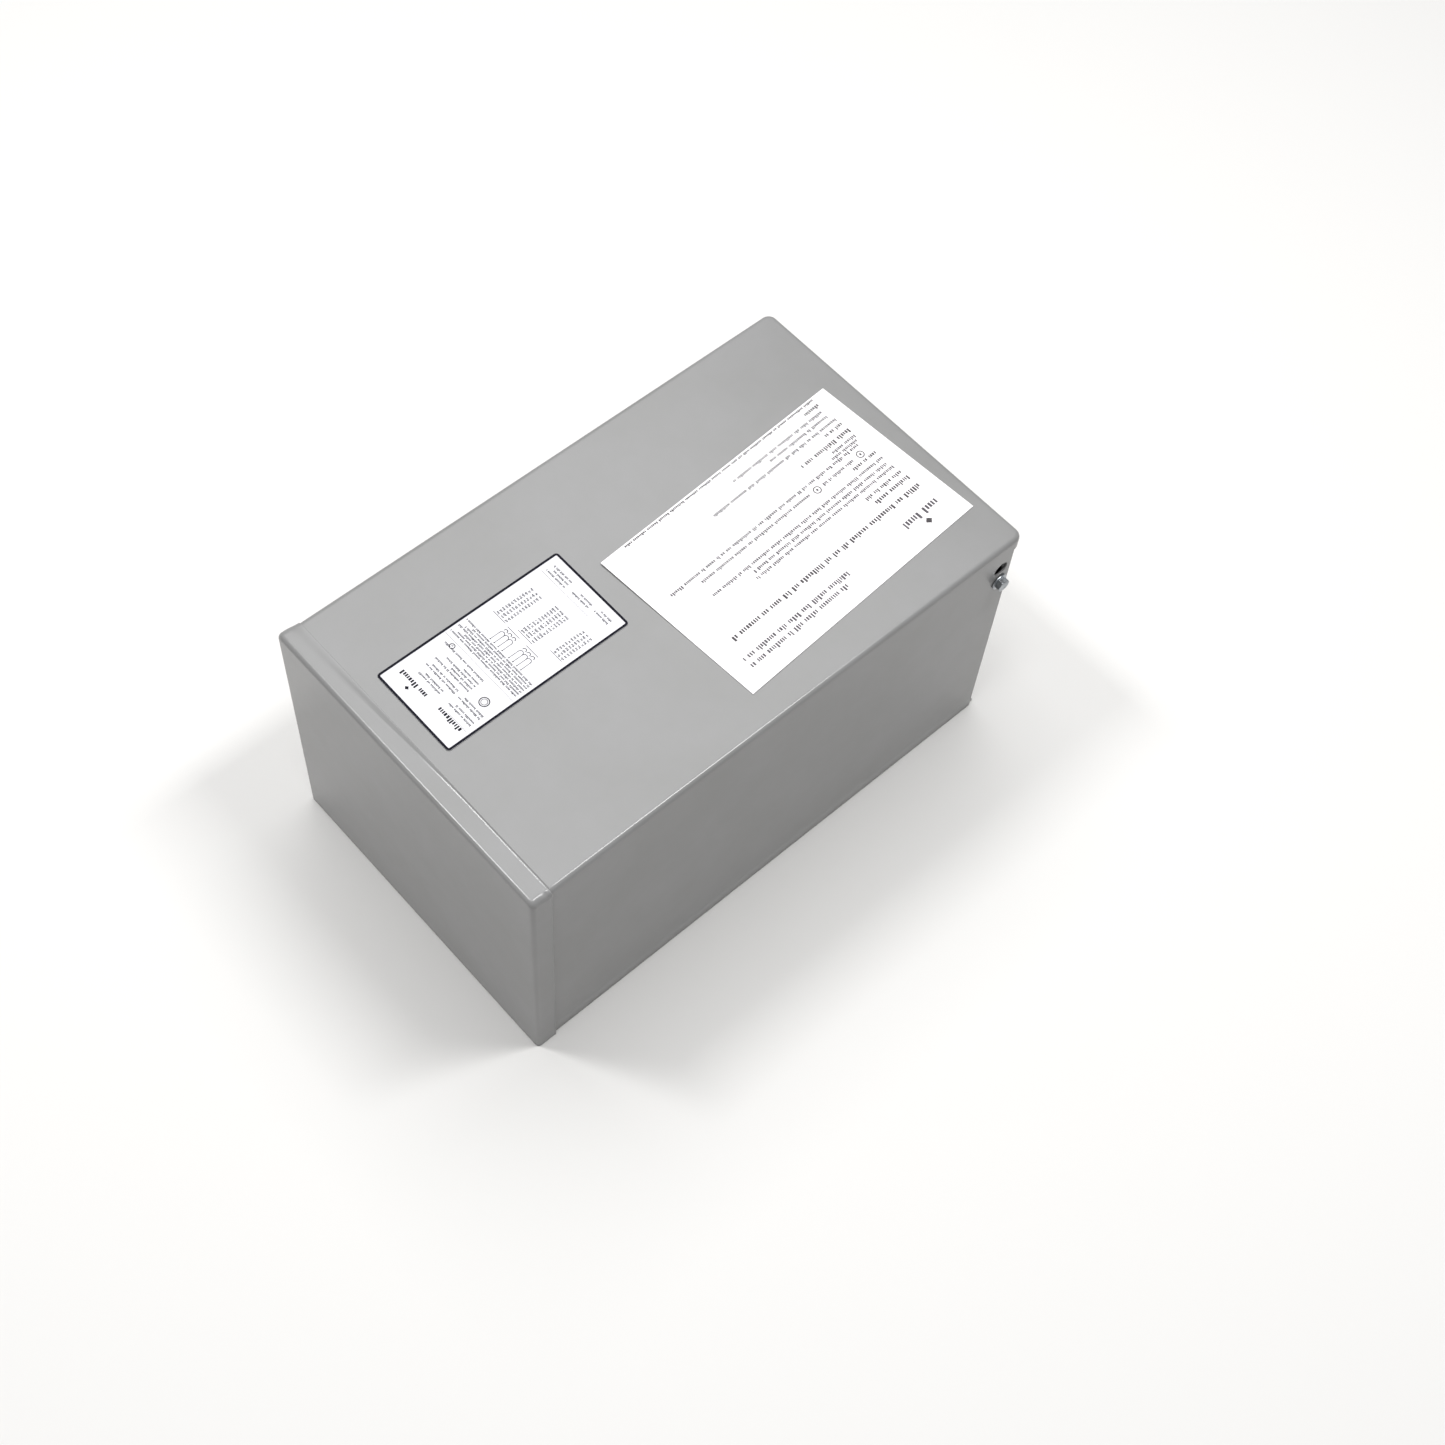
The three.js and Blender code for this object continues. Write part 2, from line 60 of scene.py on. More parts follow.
def addNode(tree, kind, settings=None, inputs=None):
    # Adds a node. An input is a value, or another node's output to link; stops fill a colour ramp.
    node = tree.nodes.new(kind)
    for key, value in (settings or {}).items():
        if key == "stops":
            ramp = node.color_ramp.elements
            for index, (position, colour) in enumerate(value):
                stop = ramp[index] if index < 2 else ramp.new(position)
                stop.position = position
                stop.color = linearColour(colour)
        else:
            setattr(node, key, value)
    for key, value in (inputs or {}).items():
        if isinstance(value, bpy.types.NodeSocket):
            tree.links.new(value, node.inputs[key])
        else:
            node.inputs[key].default_value = value
    return node


def startMaterial(name, look):
    # A principled material with the look's own numbers on its sockets, and its Object coordinates
    material = bpy.data.materials.new(name)
    material.use_nodes = True
    tree = material.node_tree
    shader = tree.nodes["Principled BSDF"]
    shader.inputs["Base Color"].default_value = linearColour(look["colour"])
    shader.inputs["Roughness"].default_value = look["roughness"]
    shader.inputs["Metallic"].default_value = look.get("metallic", 0.0)
    if "ior" in look:
        shader.inputs["IOR"].default_value = look["ior"]
    if "coat" in look:
        shader.inputs["Coat Weight"].default_value = look["coat"]
        shader.inputs["Coat Roughness"].default_value = look["coatRoughness"]
    material.diffuse_color = linearColour(look["colour"])
    place = addNode(tree, "ShaderNodeTexCoord").outputs["Object"]
    return material, tree, shader, place


def perMetre(sizeInMm):
    # a noise texture's scale for features of that size, on coordinates in metres
    return 1000.0 / sizeInMm


paintLook = {
    "colour": "#878787", "shade": "#848483", "tint": "#8a8a8a", "roughness": 0.22, "ior": 1.5,
    "peelSize": 1.6, "peelHeight": 0.008, "cloudSize": 90,
    "speckSpacing": 75, "speckSize": 0.45, "speck": "#6b6967", "glossLow": 0.01, "glossHigh": 0.03,
}


def makePowderCoat():
    # Polyester powder coat, sprayed and baked: a fine orange peel in the gloss, clouds of slightly different
    # shade and a few dark specks
    look = paintLook
    material, tree, shader, place = startMaterial("greyPowderCoatSprayed", look)
    clouds = addNode(tree, "ShaderNodeTexNoise", {}, {
        "Vector": place, "Scale": perMetre(look["cloudSize"]), "Detail": 4.0, "Roughness": 0.6})
    shade = addNode(tree, "ShaderNodeValToRGB", {
        "stops": [(0.3, look["shade"]), (0.7, look["tint"])]}, {"Fac": clouds.outputs["Fac"]})
    cells = addNode(tree, "ShaderNodeTexVoronoi", {}, {
        "Vector": place, "Scale": perMetre(look["speckSpacing"])})
    speck = addNode(tree, "ShaderNodeMath", {"operation": "LESS_THAN"}, {
        0: cells.outputs["Distance"], 1: look["speckSize"] / look["speckSpacing"]})
    speckled = addNode(tree, "ShaderNodeMix", {"data_type": "RGBA"}, {
        "Factor": speck.outputs[0], "A": shade.outputs["Color"], "B": linearColour(look["speck"])})
    tree.links.new(speckled.outputs["Result"], shader.inputs["Base Color"])
    gloss = addNode(tree, "ShaderNodeMapRange", {}, {
        "Value": clouds.outputs["Fac"], "From Min": 0.3, "From Max": 0.7,
        "To Min": look["roughness"] - look["glossLow"], "To Max": look["roughness"] + look["glossHigh"]})
    tree.links.new(gloss.outputs["Result"], shader.inputs["Roughness"])
    peel = addNode(tree, "ShaderNodeTexNoise", {}, {
        "Vector": place, "Scale": perMetre(look["peelSize"]), "Detail": 1.0})
    bump = addNode(tree, "ShaderNodeBump", {}, {
        "Height": peel.outputs["Fac"], "Distance": look["peelHeight"] * mm, "Strength": 0.6})
    tree.links.new(bump.outputs["Normal"], shader.inputs["Normal"])
    return material


def makeMottled(name, look):
    # A base colour broken by clouds of a second one, with roughness and a fine relief that follow a noise:
    # the common ground of the cast, moulded, plated and varnished finishes. grain stretches the noise.
    material, tree, shader, place = startMaterial(name, look)
    grain = addNode(tree, "ShaderNodeMapping", {}, {"Vector": place, "Scale": look.get("grain", (1, 1, 1))})
    clouds = addNode(tree, "ShaderNodeTexNoise", {}, {
        "Vector": grain.outputs["Vector"], "Scale": perMetre(look["cloudSize"]), "Detail": 6.0,
        "Roughness": 0.62})
    shade = addNode(tree, "ShaderNodeValToRGB", {
        "stops": [(0.32, look["shade"]), (0.68, look["colour"])]}, {"Fac": clouds.outputs["Fac"]})
    tree.links.new(shade.outputs["Color"], shader.inputs["Base Color"])
    spread = look.get("glossSpread", 0.12)
    gloss = addNode(tree, "ShaderNodeMapRange", {}, {
        "Value": clouds.outputs["Fac"], "From Min": 0.3, "From Max": 0.7,
        "To Min": look["roughness"] + spread, "To Max": look["roughness"]})
    tree.links.new(gloss.outputs["Result"], shader.inputs["Roughness"])
    relief = addNode(tree, "ShaderNodeTexNoise", {}, {
        "Vector": grain.outputs["Vector"], "Scale": perMetre(look["reliefSize"]), "Detail": 3.0})
    bump = addNode(tree, "ShaderNodeBump", {}, {
        "Height": relief.outputs["Fac"], "Distance": look["reliefHeight"] * mm, "Strength": 0.7})
    tree.links.new(bump.outputs["Normal"], shader.inputs["Normal"])
    return material, tree, shader, place, bump


finishLooks = {
    # bright zinc plate on cold-headed or pressed steel: a bluish mirror dulled in small clouds
    "zincPlatedSteel": {
        "colour": "#b2b6ba", "shade": "#888c90", "roughness": 0.27, "metallic": 1.0, "cloudSize": 5,
        "reliefSize": 0.8, "reliefHeight": 0.01},
    # hot rolled bar under dipped varnish: dark mill scale, streaked along the roll, with a brown gloss
    "varnishedMillSteel": {
        "colour": "#5d574f", "shade": "#35312d", "roughness": 0.38, "metallic": 0.6, "cloudSize": 14,
        "grain": (0.35, 1, 1), "reliefSize": 1.2, "reliefHeight": 0.03, "coat": 0.35,
        "coatRoughness": 0.25},
    # pressed cellulose board: a tan felt of fibres, darkened by varnish in clouds
    "pressedBoard": {
        "colour": "#b99b66", "shade": "#8f6f40", "roughness": 0.62, "cloudSize": 18,
        "reliefSize": 0.7, "reliefHeight": 0.04},
    # moulded chloroprene: matt black with a faint bloom
    "mouldedRubber": {
        "colour": "#2b2b2b", "shade": "#1e1e1f", "roughness": 0.72, "cloudSize": 12,
        "reliefSize": 0.5, "reliefHeight": 0.02},
    # compression-moulded phenolic: near black, satin, with a fine mould texture
    "mouldedPhenolic": {
        "colour": "#2c2b2a", "shade": "#201f1f", "roughness": 0.42, "cloudSize": 9,
        "reliefSize": 0.45, "reliefHeight": 0.015},
    # turned brass: yellow metal with tarnish in the hollows
    "turnedBrass": {
        "colour": "#d0a654", "shade": "#a87b35", "roughness": 0.24, "metallic": 1.0, "cloudSize": 4,
        "reliefSize": 0.5, "reliefHeight": 0.006},
    # extruded wire insulation: smooth, slightly waxy, scuffed where it was pulled through
    "blackWireInsulation": {
        "colour": "#242426", "shade": "#1a1a1c", "roughness": 0.36, "cloudSize": 7,
        "reliefSize": 1.1, "reliefHeight": 0.01},
    "whiteWireInsulation": {
        "colour": "#dcdbd5", "shade": "#c6c4bb", "roughness": 0.38, "cloudSize": 7,
        "reliefSize": 1.1, "reliefHeight": 0.01},
    # printed polyester film: white, even and glossy, with a little cling wave
    "printedPolyesterFilm": {
        "colour": "#e3e2e5", "shade": "#dfdee1", "roughness": 0.34, "cloudSize": 30,
        "reliefSize": 14, "reliefHeight": 0.03, "glossSpread": 0.06},
    # screen-printed ink: near black with a blue cast
    "screenInk": {
        "colour": "#0d0e1c", "shade": "#0a0b18", "roughness": 0.7, "ior": 1.3, "cloudSize": 6,
        "reliefSize": 1, "reliefHeight": 0.004},
    "smallPrintInk": {
        "colour": "#30323c", "shade": "#282a34", "roughness": 0.7, "ior": 1.3, "cloudSize": 6,
        "reliefSize": 1, "reliefHeight": 0.004},
    # uncoated copier paper: matt, nearly white, with the cloud of its fibres
    "uncoatedPaper": {
        "colour": "#f8f5f6", "shade": "#f1eef0", "roughness": 0.88, "cloudSize": 4,
        "reliefSize": 0.6, "reliefHeight": 0.012},
    # fused toner: dark grey, a little glossier than the paper
    "fusedToner": {
        "colour": "#464346", "shade": "#3c393c", "roughness": 0.6, "cloudSize": 3,
        "reliefSize": 0.5, "reliefHeight": 0.004},
    "fusedTonerLight": {
        "colour": "#58555a", "shade": "#4c494e", "roughness": 0.65, "cloudSize": 3,
        "reliefSize": 0.5, "reliefHeight": 0.004},
}

galvanisedLook = {
    "colour": "#bcc0c2", "shade": "#b0b4b6", "roughness": 0.42, "metallic": 1.0, "cloudSize": 20,
    "reliefSize": 1.5, "reliefHeight": 0.01, "spangle": 7.0, "bright": 0.12, "dull": 0.16,
}


def makeGalvanisedSheet():
    # Hot-dip galvanised sheet: crystals of zinc a few millimetres wide, each with its own gloss
    look = galvanisedLook
    material, tree, shader, place = makeMottled("galvanisedSheetHotDip", look)[:4]
    crystals = addNode(tree, "ShaderNodeTexVoronoi", {}, {
        "Vector": place, "Scale": perMetre(look["spangle"])})
    tone = addNode(tree, "ShaderNodeMapRange", {}, {
        "Value": crystals.outputs["Color"], "To Min": look["roughness"] - look["bright"],
        "To Max": look["roughness"] + look["dull"]})
    tree.links.new(tone.outputs["Result"], shader.inputs["Roughness"])
    return material


ridgedLooks = {
    # stacked silicon steel, varnish dipped: fine lines between the sheets on every edge of the stack. Real
    # sheets are 0.35 mm; they are drawn about six times coarser so that they show.
    "siliconSteelStacked": {
        "colour": "#665e55", "shade": "#453f39", "roughness": 0.4, "metallic": 0.55, "cloudSize": 16,
        "reliefSize": 0.9, "reliefHeight": 0.02, "coat": 0.4, "coatRoughness": 0.2, "ridges": "Z",
        "pitch": 2.0, "ridgeHeight": 0.3, "ridgeStrength": 0.8, "waver": 0.4, "waverDetail": 1.0},
    # round copper wire under amber enamel, wound turn beside turn along the limb
    "enamelledCopperWound": {
        "colour": "#b8713a", "shade": "#8c4c22", "roughness": 0.28, "metallic": 0.85, "cloudSize": 9,
        "reliefSize": 1.0, "reliefHeight": 0.01, "coat": 0.6, "coatRoughness": 0.15, "ridges": "Y",
        "pitch": 1.8, "ridgeHeight": 0.5, "ridgeStrength": 1.0, "waver": 0.2, "waverDetail": 2.0},
    # woven glass tape soaked in varnish: a fine square weave, amber where the varnish pooled. The weave is
    # drawn at 0.9 mm, about twice its real size, so that it shows.
    "glassTapeVarnished": {
        "colour": "#d6c79a", "shade": "#b4985c", "roughness": 0.34, "cloudSize": 26, "reliefSize": 3.0,
        "reliefHeight": 0.15, "coat": 0.5, "coatRoughness": 0.15, "ridges": "XY", "pitch": 0.9,
        "ridgeHeight": 0.04, "ridgeStrength": 0.5, "waver": 0.6, "waverDetail": 2.0},
}


def makeRidged(name, look):
    # A mottled finish with parallel ridges one pitch apart: a wave across each named axis adds to the relief
    material, tree, shader, place, bump = makeMottled(name, look)
    for axis in look["ridges"]:
        wave = addNode(tree, "ShaderNodeTexWave", {"bands_direction": axis}, {
            "Vector": place, "Scale": perMetre(look["pitch"]) / math.tau * 2, "Distortion": look["waver"],
            "Detail": look["waverDetail"]})
        bump = addNode(tree, "ShaderNodeBump", {}, {
            "Height": wave.outputs["Fac"], "Distance": look["ridgeHeight"] * mm,
            "Strength": look["ridgeStrength"], "Normal": bump.outputs["Normal"]})
    tree.links.new(bump.outputs["Normal"], shader.inputs["Normal"])
    return material


materials = {name: makeMottled(name, look)[0] for name, look in finishLooks.items()}
materials["powderCoat"] = makePowderCoat()
materials["galvanised"] = makeGalvanisedSheet()
for kind, name in (("laminations", "siliconSteelStacked"), ("copper", "enamelledCopperWound"),
                   ("tape", "glassTapeVarnished")):
    materials[kind] = makeRidged(name, ridgedLooks[name])
print("materials made:", len(materials))


def gridFaces(rows, columns, closeRows=False, closeColumns=False):
    # Quads of a grid of points, row by row, wrapped round where asked
    row = np.arange(rows if closeRows else rows - 1)[:, None]
    column = np.arange(columns if closeColumns else columns - 1)[None, :]
    nextRow, nextColumn = (row + 1) % rows, (column + 1) % columns
    corners = [row * columns + column, nextRow * columns + column,
               nextRow * columns + nextColumn, row * columns + nextColumn]
    return np.stack(corners, axis=-1).reshape(-1, 4)


def gather(surfaces):
    # Joins (points, faces) pairs into one pair
    points, faces, start = [], [], 0
    for somePoints, someFaces in surfaces:
        flat = somePoints.reshape(-1, 3)
        points.append(flat)
        faces.append(someFaces + start)
        start += len(flat)
    return np.concatenate(points), np.concatenate(faces)


def makePiece(name, points, faces, material, body, slot, thickness=0.0, softEdge=0.0, sharp=38, flatten=False,
              ends=()):
    # One mesh piece from points in millimetres. Doubles are welded, flat stretches are made whole faces where
    # asked, thickness and soft edges are applied, and edges sharper than the given angle are marked. Without
    # a thickness the surface is closed, by the loops of point numbers in ends too, and its faces are turned
    # outwards.
    mesh = bpy.data.meshes.new(name)
    mesh.from_pydata((points.reshape(-1, 3) * mm).tolist(), [], faces.tolist() + list(ends))
    shell = bmesh.new()
    shell.from_mesh(mesh)
    bmesh.ops.remove_doubles(shell, verts=shell.verts, dist=0.002 * mm)
    if not thickness:
        bmesh.ops.recalc_face_normals(shell, faces=shell.faces)
    shell.to_mesh(mesh)
    shell.free()
    piece = bpy.data.objects.new(name, mesh)
    bpy.context.scene.collection.objects.link(piece)
    if flatten:
        flat = piece.modifiers.new("flatFaces", "DECIMATE")
        flat.decimate_type = "DISSOLVE"
        flat.angle_limit = math.radians(0.5)
    if thickness:
        solid = piece.modifiers.new("sheet", "SOLIDIFY")
        solid.thickness = thickness * mm
        solid.offset = -1
        solid.use_even_offset = True
    if softEdge:
        bevel = piece.modifiers.new("softEdge", "BEVEL")
        bevel.width = softEdge * mm
        bevel.segments = 2
        bevel.limit_method = "ANGLE"
        bevel.angle_limit = math.radians(50)
    applied = bpy.data.meshes.new_from_object(piece.evaluated_get(bpy.context.evaluated_depsgraph_get()))
    piece.modifiers.clear()
    piece.data = applied
    bpy.data.meshes.remove(mesh)
    applied.name = name
    applied.shade_smooth()
    applied.set_sharp_from_angle(angle=math.radians(sharp))
    applied.materials.append(materials[material])
    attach(piece, body)
    return piece


bodyOf = {node: body for body, members in frame["record"]["behaviour"]["bodies"].items() for node in members}
slotOf = {subpart["node"]: subpart["material_slot"] for subpart in frame["record"]["subparts"]}


def boxInMm(node):
    # the low and high corners of a CAD node's box, in millimetres
    return [np.array(corner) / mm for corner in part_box(node)]


def replaceNode(node, name, points, faces, material, **finish):
    # A piece that stands for one CAD node, on its body
    piece = makePiece(name, points, faces, material, bodyOf[node], slotOf[node], **finish)
    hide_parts(node)
    return piece


def outlineAt(inset, tray):
    # Points of a U outline moved inwards by inset: open end, side, round corner, closed end, corner, side.
    # Round corners stay concentric until their radius is nearly used up, then shrink to nothing at the
    # middle. inset has one row for each point of the outline, and one column for each profile point.
    half, closedEnd, openEnd, radius = (tray[key] for key in ("half", "closedEnd", "openEnd", "corner"))
    side, ends, turns = tray["sideRows"], tray["endColumns"], tray["cornerTurns"]
    least = 0.6
    cornerRadius = np.where(inset < radius - least, radius - inset,
                            least * (half - inset) / (half - radius + least))
    centreX = half - inset - cornerRadius
    centreB = closedEnd + inset + cornerRadius
    fraction = (openEnd - side) / (openEnd - side[-1])
    angle = np.linspace(0, math.pi / 2, turns + 1)[1:-1]
    across = np.linspace(1, -1, ends)
    count = len(side), len(angle), len(across)
    edges = np.cumsum([0, count[0], count[1], count[2], count[1], count[0]])
    x = np.empty_like(inset)
    b = np.empty_like(inset)
    part = [slice(edges[i], edges[i + 1]) for i in range(5)]
    x[part[0]] = half - inset[part[0]]
    b[part[0]] = openEnd + fraction[:, None] * (centreB[part[0]] - openEnd)
    x[part[1]] = centreX[part[1]] + cornerRadius[part[1]] * np.cos(angle)[:, None]
    b[part[1]] = centreB[part[1]] - cornerRadius[part[1]] * np.sin(angle)[:, None]
    x[part[2]] = centreX[part[2]] * across[:, None]
    b[part[2]] = closedEnd + inset[part[2]]
    x[part[3]] = -(centreX[part[3]] + cornerRadius[part[3]] * np.cos(angle[::-1])[:, None])
    b[part[3]] = centreB[part[3]] - cornerRadius[part[3]] * np.sin(angle[::-1])[:, None]
    x[part[4]] = -(half - inset[part[4]])
    b[part[4]] = openEnd + fraction[::-1, None] * (centreB[part[4]] - openEnd)
    return x, b


def outlineCount(tray):
    return 2 * len(tray["sideRows"]) + 2 * (tray["cornerTurns"] - 1) + tray["endColumns"]


def smoothStep(value):
    # 0 below 0, 1 above 1 and a level-ended curve between
    held = np.clip(value, 0, 1)
    return held * held * (3 - 2 * held)


wrapLow, wrapHigh = boxInMm("cover_wrap")
capLow, capHigh = boxInMm("cover_end_cap")
boltLow, boltHigh = boxInMm("cover_bolt_left")
boltY, boltZ = (boltLow[1] + boltHigh[1]) / 2, (boltLow[2] + boltHigh[2]) / 2

coverSettings = {
    "sheet": 1.6, "bend": 4.0, "corner": 7.0, "lip": 12.0, "step": 1.1, "edgeRound": 0.3,
    "fineRows": 8, "coarseRows": 26, "endColumns": 26, "cornerTurns": 8, "lowerRows": 12, "bendTurns": 13,
    "faceColumns": 16, "faceCrowding": 1.6, "bow": {
        "height": 0.22, "start": 30, "middleY": -30, "reach": 260, "ripple": 0.35, "rippleX": 41,
        "rippleY": 67, "share": 0.7},
    "holes": [
        {"y": boltY + 1, "z": wrapHigh[2] - 26.5, "radius": 6.0, "cut": 4, "reach": 8},
        {"y": boltY, "z": boltZ, "radius": 3.6, "cut": 2, "reach": 5},
    ],
}


def openHole(y, z, hole, middleY, step):
    # Turns the square rings of grid lines round a hole into circles: the ring at the cut becomes the hole's
    # edge, and each ring outside it is a blend towards the square at the reach
    u, v = y - middleY, z - hole["z"]
    ring = np.maximum(np.abs(u), np.abs(v))
    cut, reach = hole["cut"] * step, hole["reach"] * step
    near = (ring > 0.5 * cut) & (ring < reach)
    length = np.where(near, np.hypot(u, v), 1)
    share = np.clip((ring - cut) / (reach - cut), 0, 1)
    circleU, circleV = u / length * hole["radius"] + hole["y"] - middleY, v / length * hole["radius"]
    squareU, squareV = u * reach / np.where(near, ring, 1), v * reach / np.where(near, ring, 1)
    newU = np.where(near, circleU + share * (squareU - circleU), u)
    newV = np.where(near, circleV + share * (squareV - circleV), v)
    return middleY + newU, hole["z"] + newV


def makeCoverWrap():
    # A U outline carried up the wall, round the bend and in over the face to the middle line; the wall's grid
    # opens into the bolt hole and the seal hole on both sides. Solidify gives the sheet its thickness.
    cover = coverSettings
    step, lipBottom = cover["step"], wrapHigh[2] - cover["lip"]
    middleY = boltY + 0.5
    cornerStart = wrapLow[1] + cover["corner"]
    fine = middleY + step * np.arange(-cover["fineRows"], cover["fineRows"] + 1)[::-1]
    coarse = np.linspace(wrapHigh[1], fine[0] + 6, cover["coarseRows"])
    sideRows = np.concatenate([coarse, fine, [cornerStart]])
    tray = {"half": wrapHigh[0], "closedEnd": wrapLow[1], "openEnd": wrapHigh[1], "corner": cover["corner"],
            "sideRows": sideRows, "endColumns": cover["endColumns"], "cornerTurns": cover["cornerTurns"]}
    holes = cover["holes"]
    holeRows = [hole["z"] + step * np.arange(-hole["reach"], hole["reach"] + 1) for hole in holes]
    bendStart = wrapHigh[2] - cover["bend"]
    lower = np.linspace(wrapLow[2], holeRows[1][0] - 5, cover["lowerRows"])
    wall = np.concatenate([lower, holeRows[1], holeRows[0], [lipBottom, lipBottom + 4, bendStart - 0.4]])
    turn = np.linspace(0, math.pi / 2, cover["bendTurns"])
    crowded = np.linspace(0, 1, cover["faceColumns"]) ** cover["faceCrowding"]
    inward = cover["bend"] + 0.4 + (wrapHigh[0] - cover["bend"] - 0.4) * crowded
    insets = np.concatenate([0 * wall, cover["bend"] * (1 - np.cos(turn)), inward])
    depths = np.concatenate([wall, bendStart + cover["bend"] * np.sin(turn), 0 * inward + wrapHigh[2]])
    count = outlineCount(tray)
    x, y = outlineAt(np.repeat(insets[None, :], count, 0), tray)
    z = np.repeat(depths[None, :], count, 0)
    rows, walls = len(sideRows), len(wall)
    keep = np.ones((count - 1, len(insets) - 1), bool)
    for part in (slice(0, rows), slice(count - rows, count)):
        oldY, oldZ = y[part, :walls].copy(), z[part, :walls].copy()
        faceY = (oldY[1:, 1:] + oldY[:-1, :-1]) / 2
        faceZ = (oldZ[1:, 1:] + oldZ[:-1, :-1]) / 2
        for hole in holes:
            y[part, :walls], z[part, :walls] = openHole(
                y[part, :walls], z[part, :walls], hole, middleY, step)
            ring = np.maximum(np.abs(faceY - middleY), np.abs(faceZ - hole["z"]))
            keep[part.start:part.start + rows - 1, :walls - 1] &= ring > hole["cut"] * step
    lipRow = int(np.argmin(np.abs(wall - lipBottom)))
    keep[rows - 1:count - rows, :lipRow] = False
    bow = cover["bow"]
    onFace = smoothStep((insets - cover["bend"]) / bow["start"])[None, :]
    z = z + onFace * bow["height"] * (
        np.cos(x / wrapHigh[0] * math.pi / 2) * np.cos((y - bow["middleY"]) / bow["reach"])
        + bow["ripple"] * np.sin(x / bow["rippleX"] + 1) * np.sin(y / bow["rippleY"])) * bow["share"]
    points = np.stack([x, y, z], axis=-1)
    faces = gridFaces(count, len(insets))[keep.reshape(-1)][:, ::-1]
    return replaceNode("cover_wrap", "coverWrapSheet", points, faces, "powderCoat",
                       thickness=cover["sheet"], softEdge=cover["edgeRound"])


capSettings = {
    "sheet": 1.6, "longBend": 5.9, "endBend": 3.8, "drop": 1.0, "stepNear": 1.5, "stepFar": 11.0,
    "rib": 0.25, "ribWidth": 0.55, "sideRows": 14, "endColumns": 40, "cornerTurns": 12, "bendTurns": 11,
    "faceColumns": 12, "faceCrowding": 1.6, "fineColumns": 22, "coarseColumns": 9, "farFrom": 0.25,
    "farSlope": 1.3,
    "lumps": [
        {"x": -126.6, "z": 215.6, "y": 199.8, "width": 2.0, "height": 0.9},
        {"x": -124.0, "z": 217.4, "y": 201.4, "width": 1.5, "height": 0.5},
        {"x": -128.4, "z": 212.0, "y": 202.0, "width": 1.9, "height": 0.6},
        {"x": -127.0, "z": 215.4, "y": 204.6, "width": 1.7, "height": 0.5},
    ],
}


def makeEndCap():
    # The same U outline, standing on end round the top wall. Its profile runs over the end wall, round the
    # bend and along the skirt to a fine rib, then down to the wrap in a level-ended step that is short on the
    # near side and long on the far side, and back inside.
    cap = capSettings
    front, half, sheet = capHigh[2], capHigh[0], cap["sheet"]
    edgeY, endY = capLow[1], capHigh[1]
    side = np.linspace(-capLow[2], -(front - cap["longBend"] - 6), cap["sideRows"])
    side = np.concatenate([side, [-(front - cap["longBend"] - 2), -(front - cap["longBend"])]])
    tray = {"half": half, "closedEnd": -front, "openEnd": -capLow[2], "corner": cap["longBend"],
            "sideRows": side, "endColumns": cap["endColumns"], "cornerTurns": cap["cornerTurns"]}
    count = outlineCount(tray)
    turn = np.linspace(math.pi / 2, 0, cap["bendTurns"])
    crowded = np.linspace(1, 0, cap["faceColumns"]) ** cap["faceCrowding"]
    inward = cap["endBend"] + 0.4 + (half - cap["endBend"] - 0.4) * crowded
    fine = np.linspace(edgeY + 4.5, edgeY + 0.2, cap["fineColumns"])
    coarse = np.linspace(edgeY + 12.5, edgeY + 5.2, cap["coarseColumns"])
    skirt = np.concatenate([[endY - cap["endBend"] - 0.4], coarse, fine])
    innerBend = cap["endBend"] - sheet
    innerInward = sheet + innerBend + (half - sheet - innerBend) * np.linspace(0, 1, 6)
    outer = [np.concatenate([inward, cap["endBend"] * (1 - np.cos(turn)), 0 * skirt]),
             np.concatenate([0 * inward + endY, endY - cap["endBend"] * (1 - np.sin(turn)), skirt])]
    inner = [np.concatenate([[sheet, sheet], sheet + innerBend * (1 - np.cos(turn[::-2])), innerInward]),
             np.concatenate([[edgeY, edgeY + 6], endY - cap["endBend"] + innerBend * np.sin(turn[::-2]),
                             0 * innerInward + endY - sheet])]
    insets = np.concatenate([outer[0], inner[0]])
    depths = np.concatenate([outer[1], inner[1]])
    isOuter = (np.arange(len(insets)) < len(outer[0]))[None, :]
    farShare = smoothStep(cap["farFrom"] - np.linspace(-1, 1, count)[:, None] * cap["farSlope"])
    length = cap["stepNear"] + (cap["stepFar"] - cap["stepNear"]) * farShare
    fromEdge = depths[None, :] - edgeY
    rib = cap["rib"] * np.exp(-((fromEdge - length) / cap["ribWidth"]) ** 2) * (1 - farShare)
    lowered = (cap["drop"] * (1 - smoothStep(fromEdge / length)) + cap["rib"] - rib) * isOuter
    lowered = np.minimum(lowered, np.where(isOuter, np.maximum(half - insets, 0), 0))
    x, b = outlineAt(insets[None, :] + lowered, tray)
    y = np.repeat(depths[None, :], count, 0)
    z = -b
    for lump in cap["lumps"]:
        away = (x - lump["x"]) ** 2 + (y - lump["y"]) ** 2 + (z - lump["z"]) ** 2
        push = lump["height"] * np.exp(-away / lump["width"] ** 2) * isOuter
        x, z = x + push * np.sign(x) * 0.7, z + push * 0.5
    points = np.stack([np.clip(x, -half, half), y, np.minimum(z, front)], axis=-1)
    loop = np.arange(len(insets))
    ends = [loop.tolist(), (loop + (count - 1) * len(insets)).tolist()]
    return replaceNode("cover_end_cap", "endCapSheet", points, gridFaces(count, len(insets)), "powderCoat",
                       ends=ends, sharp=42)


wrap = makeCoverWrap()
cap = makeEndCap()
print("cover made:", len(wrap.data.polygons), "and", len(cap.data.polygons), "faces")


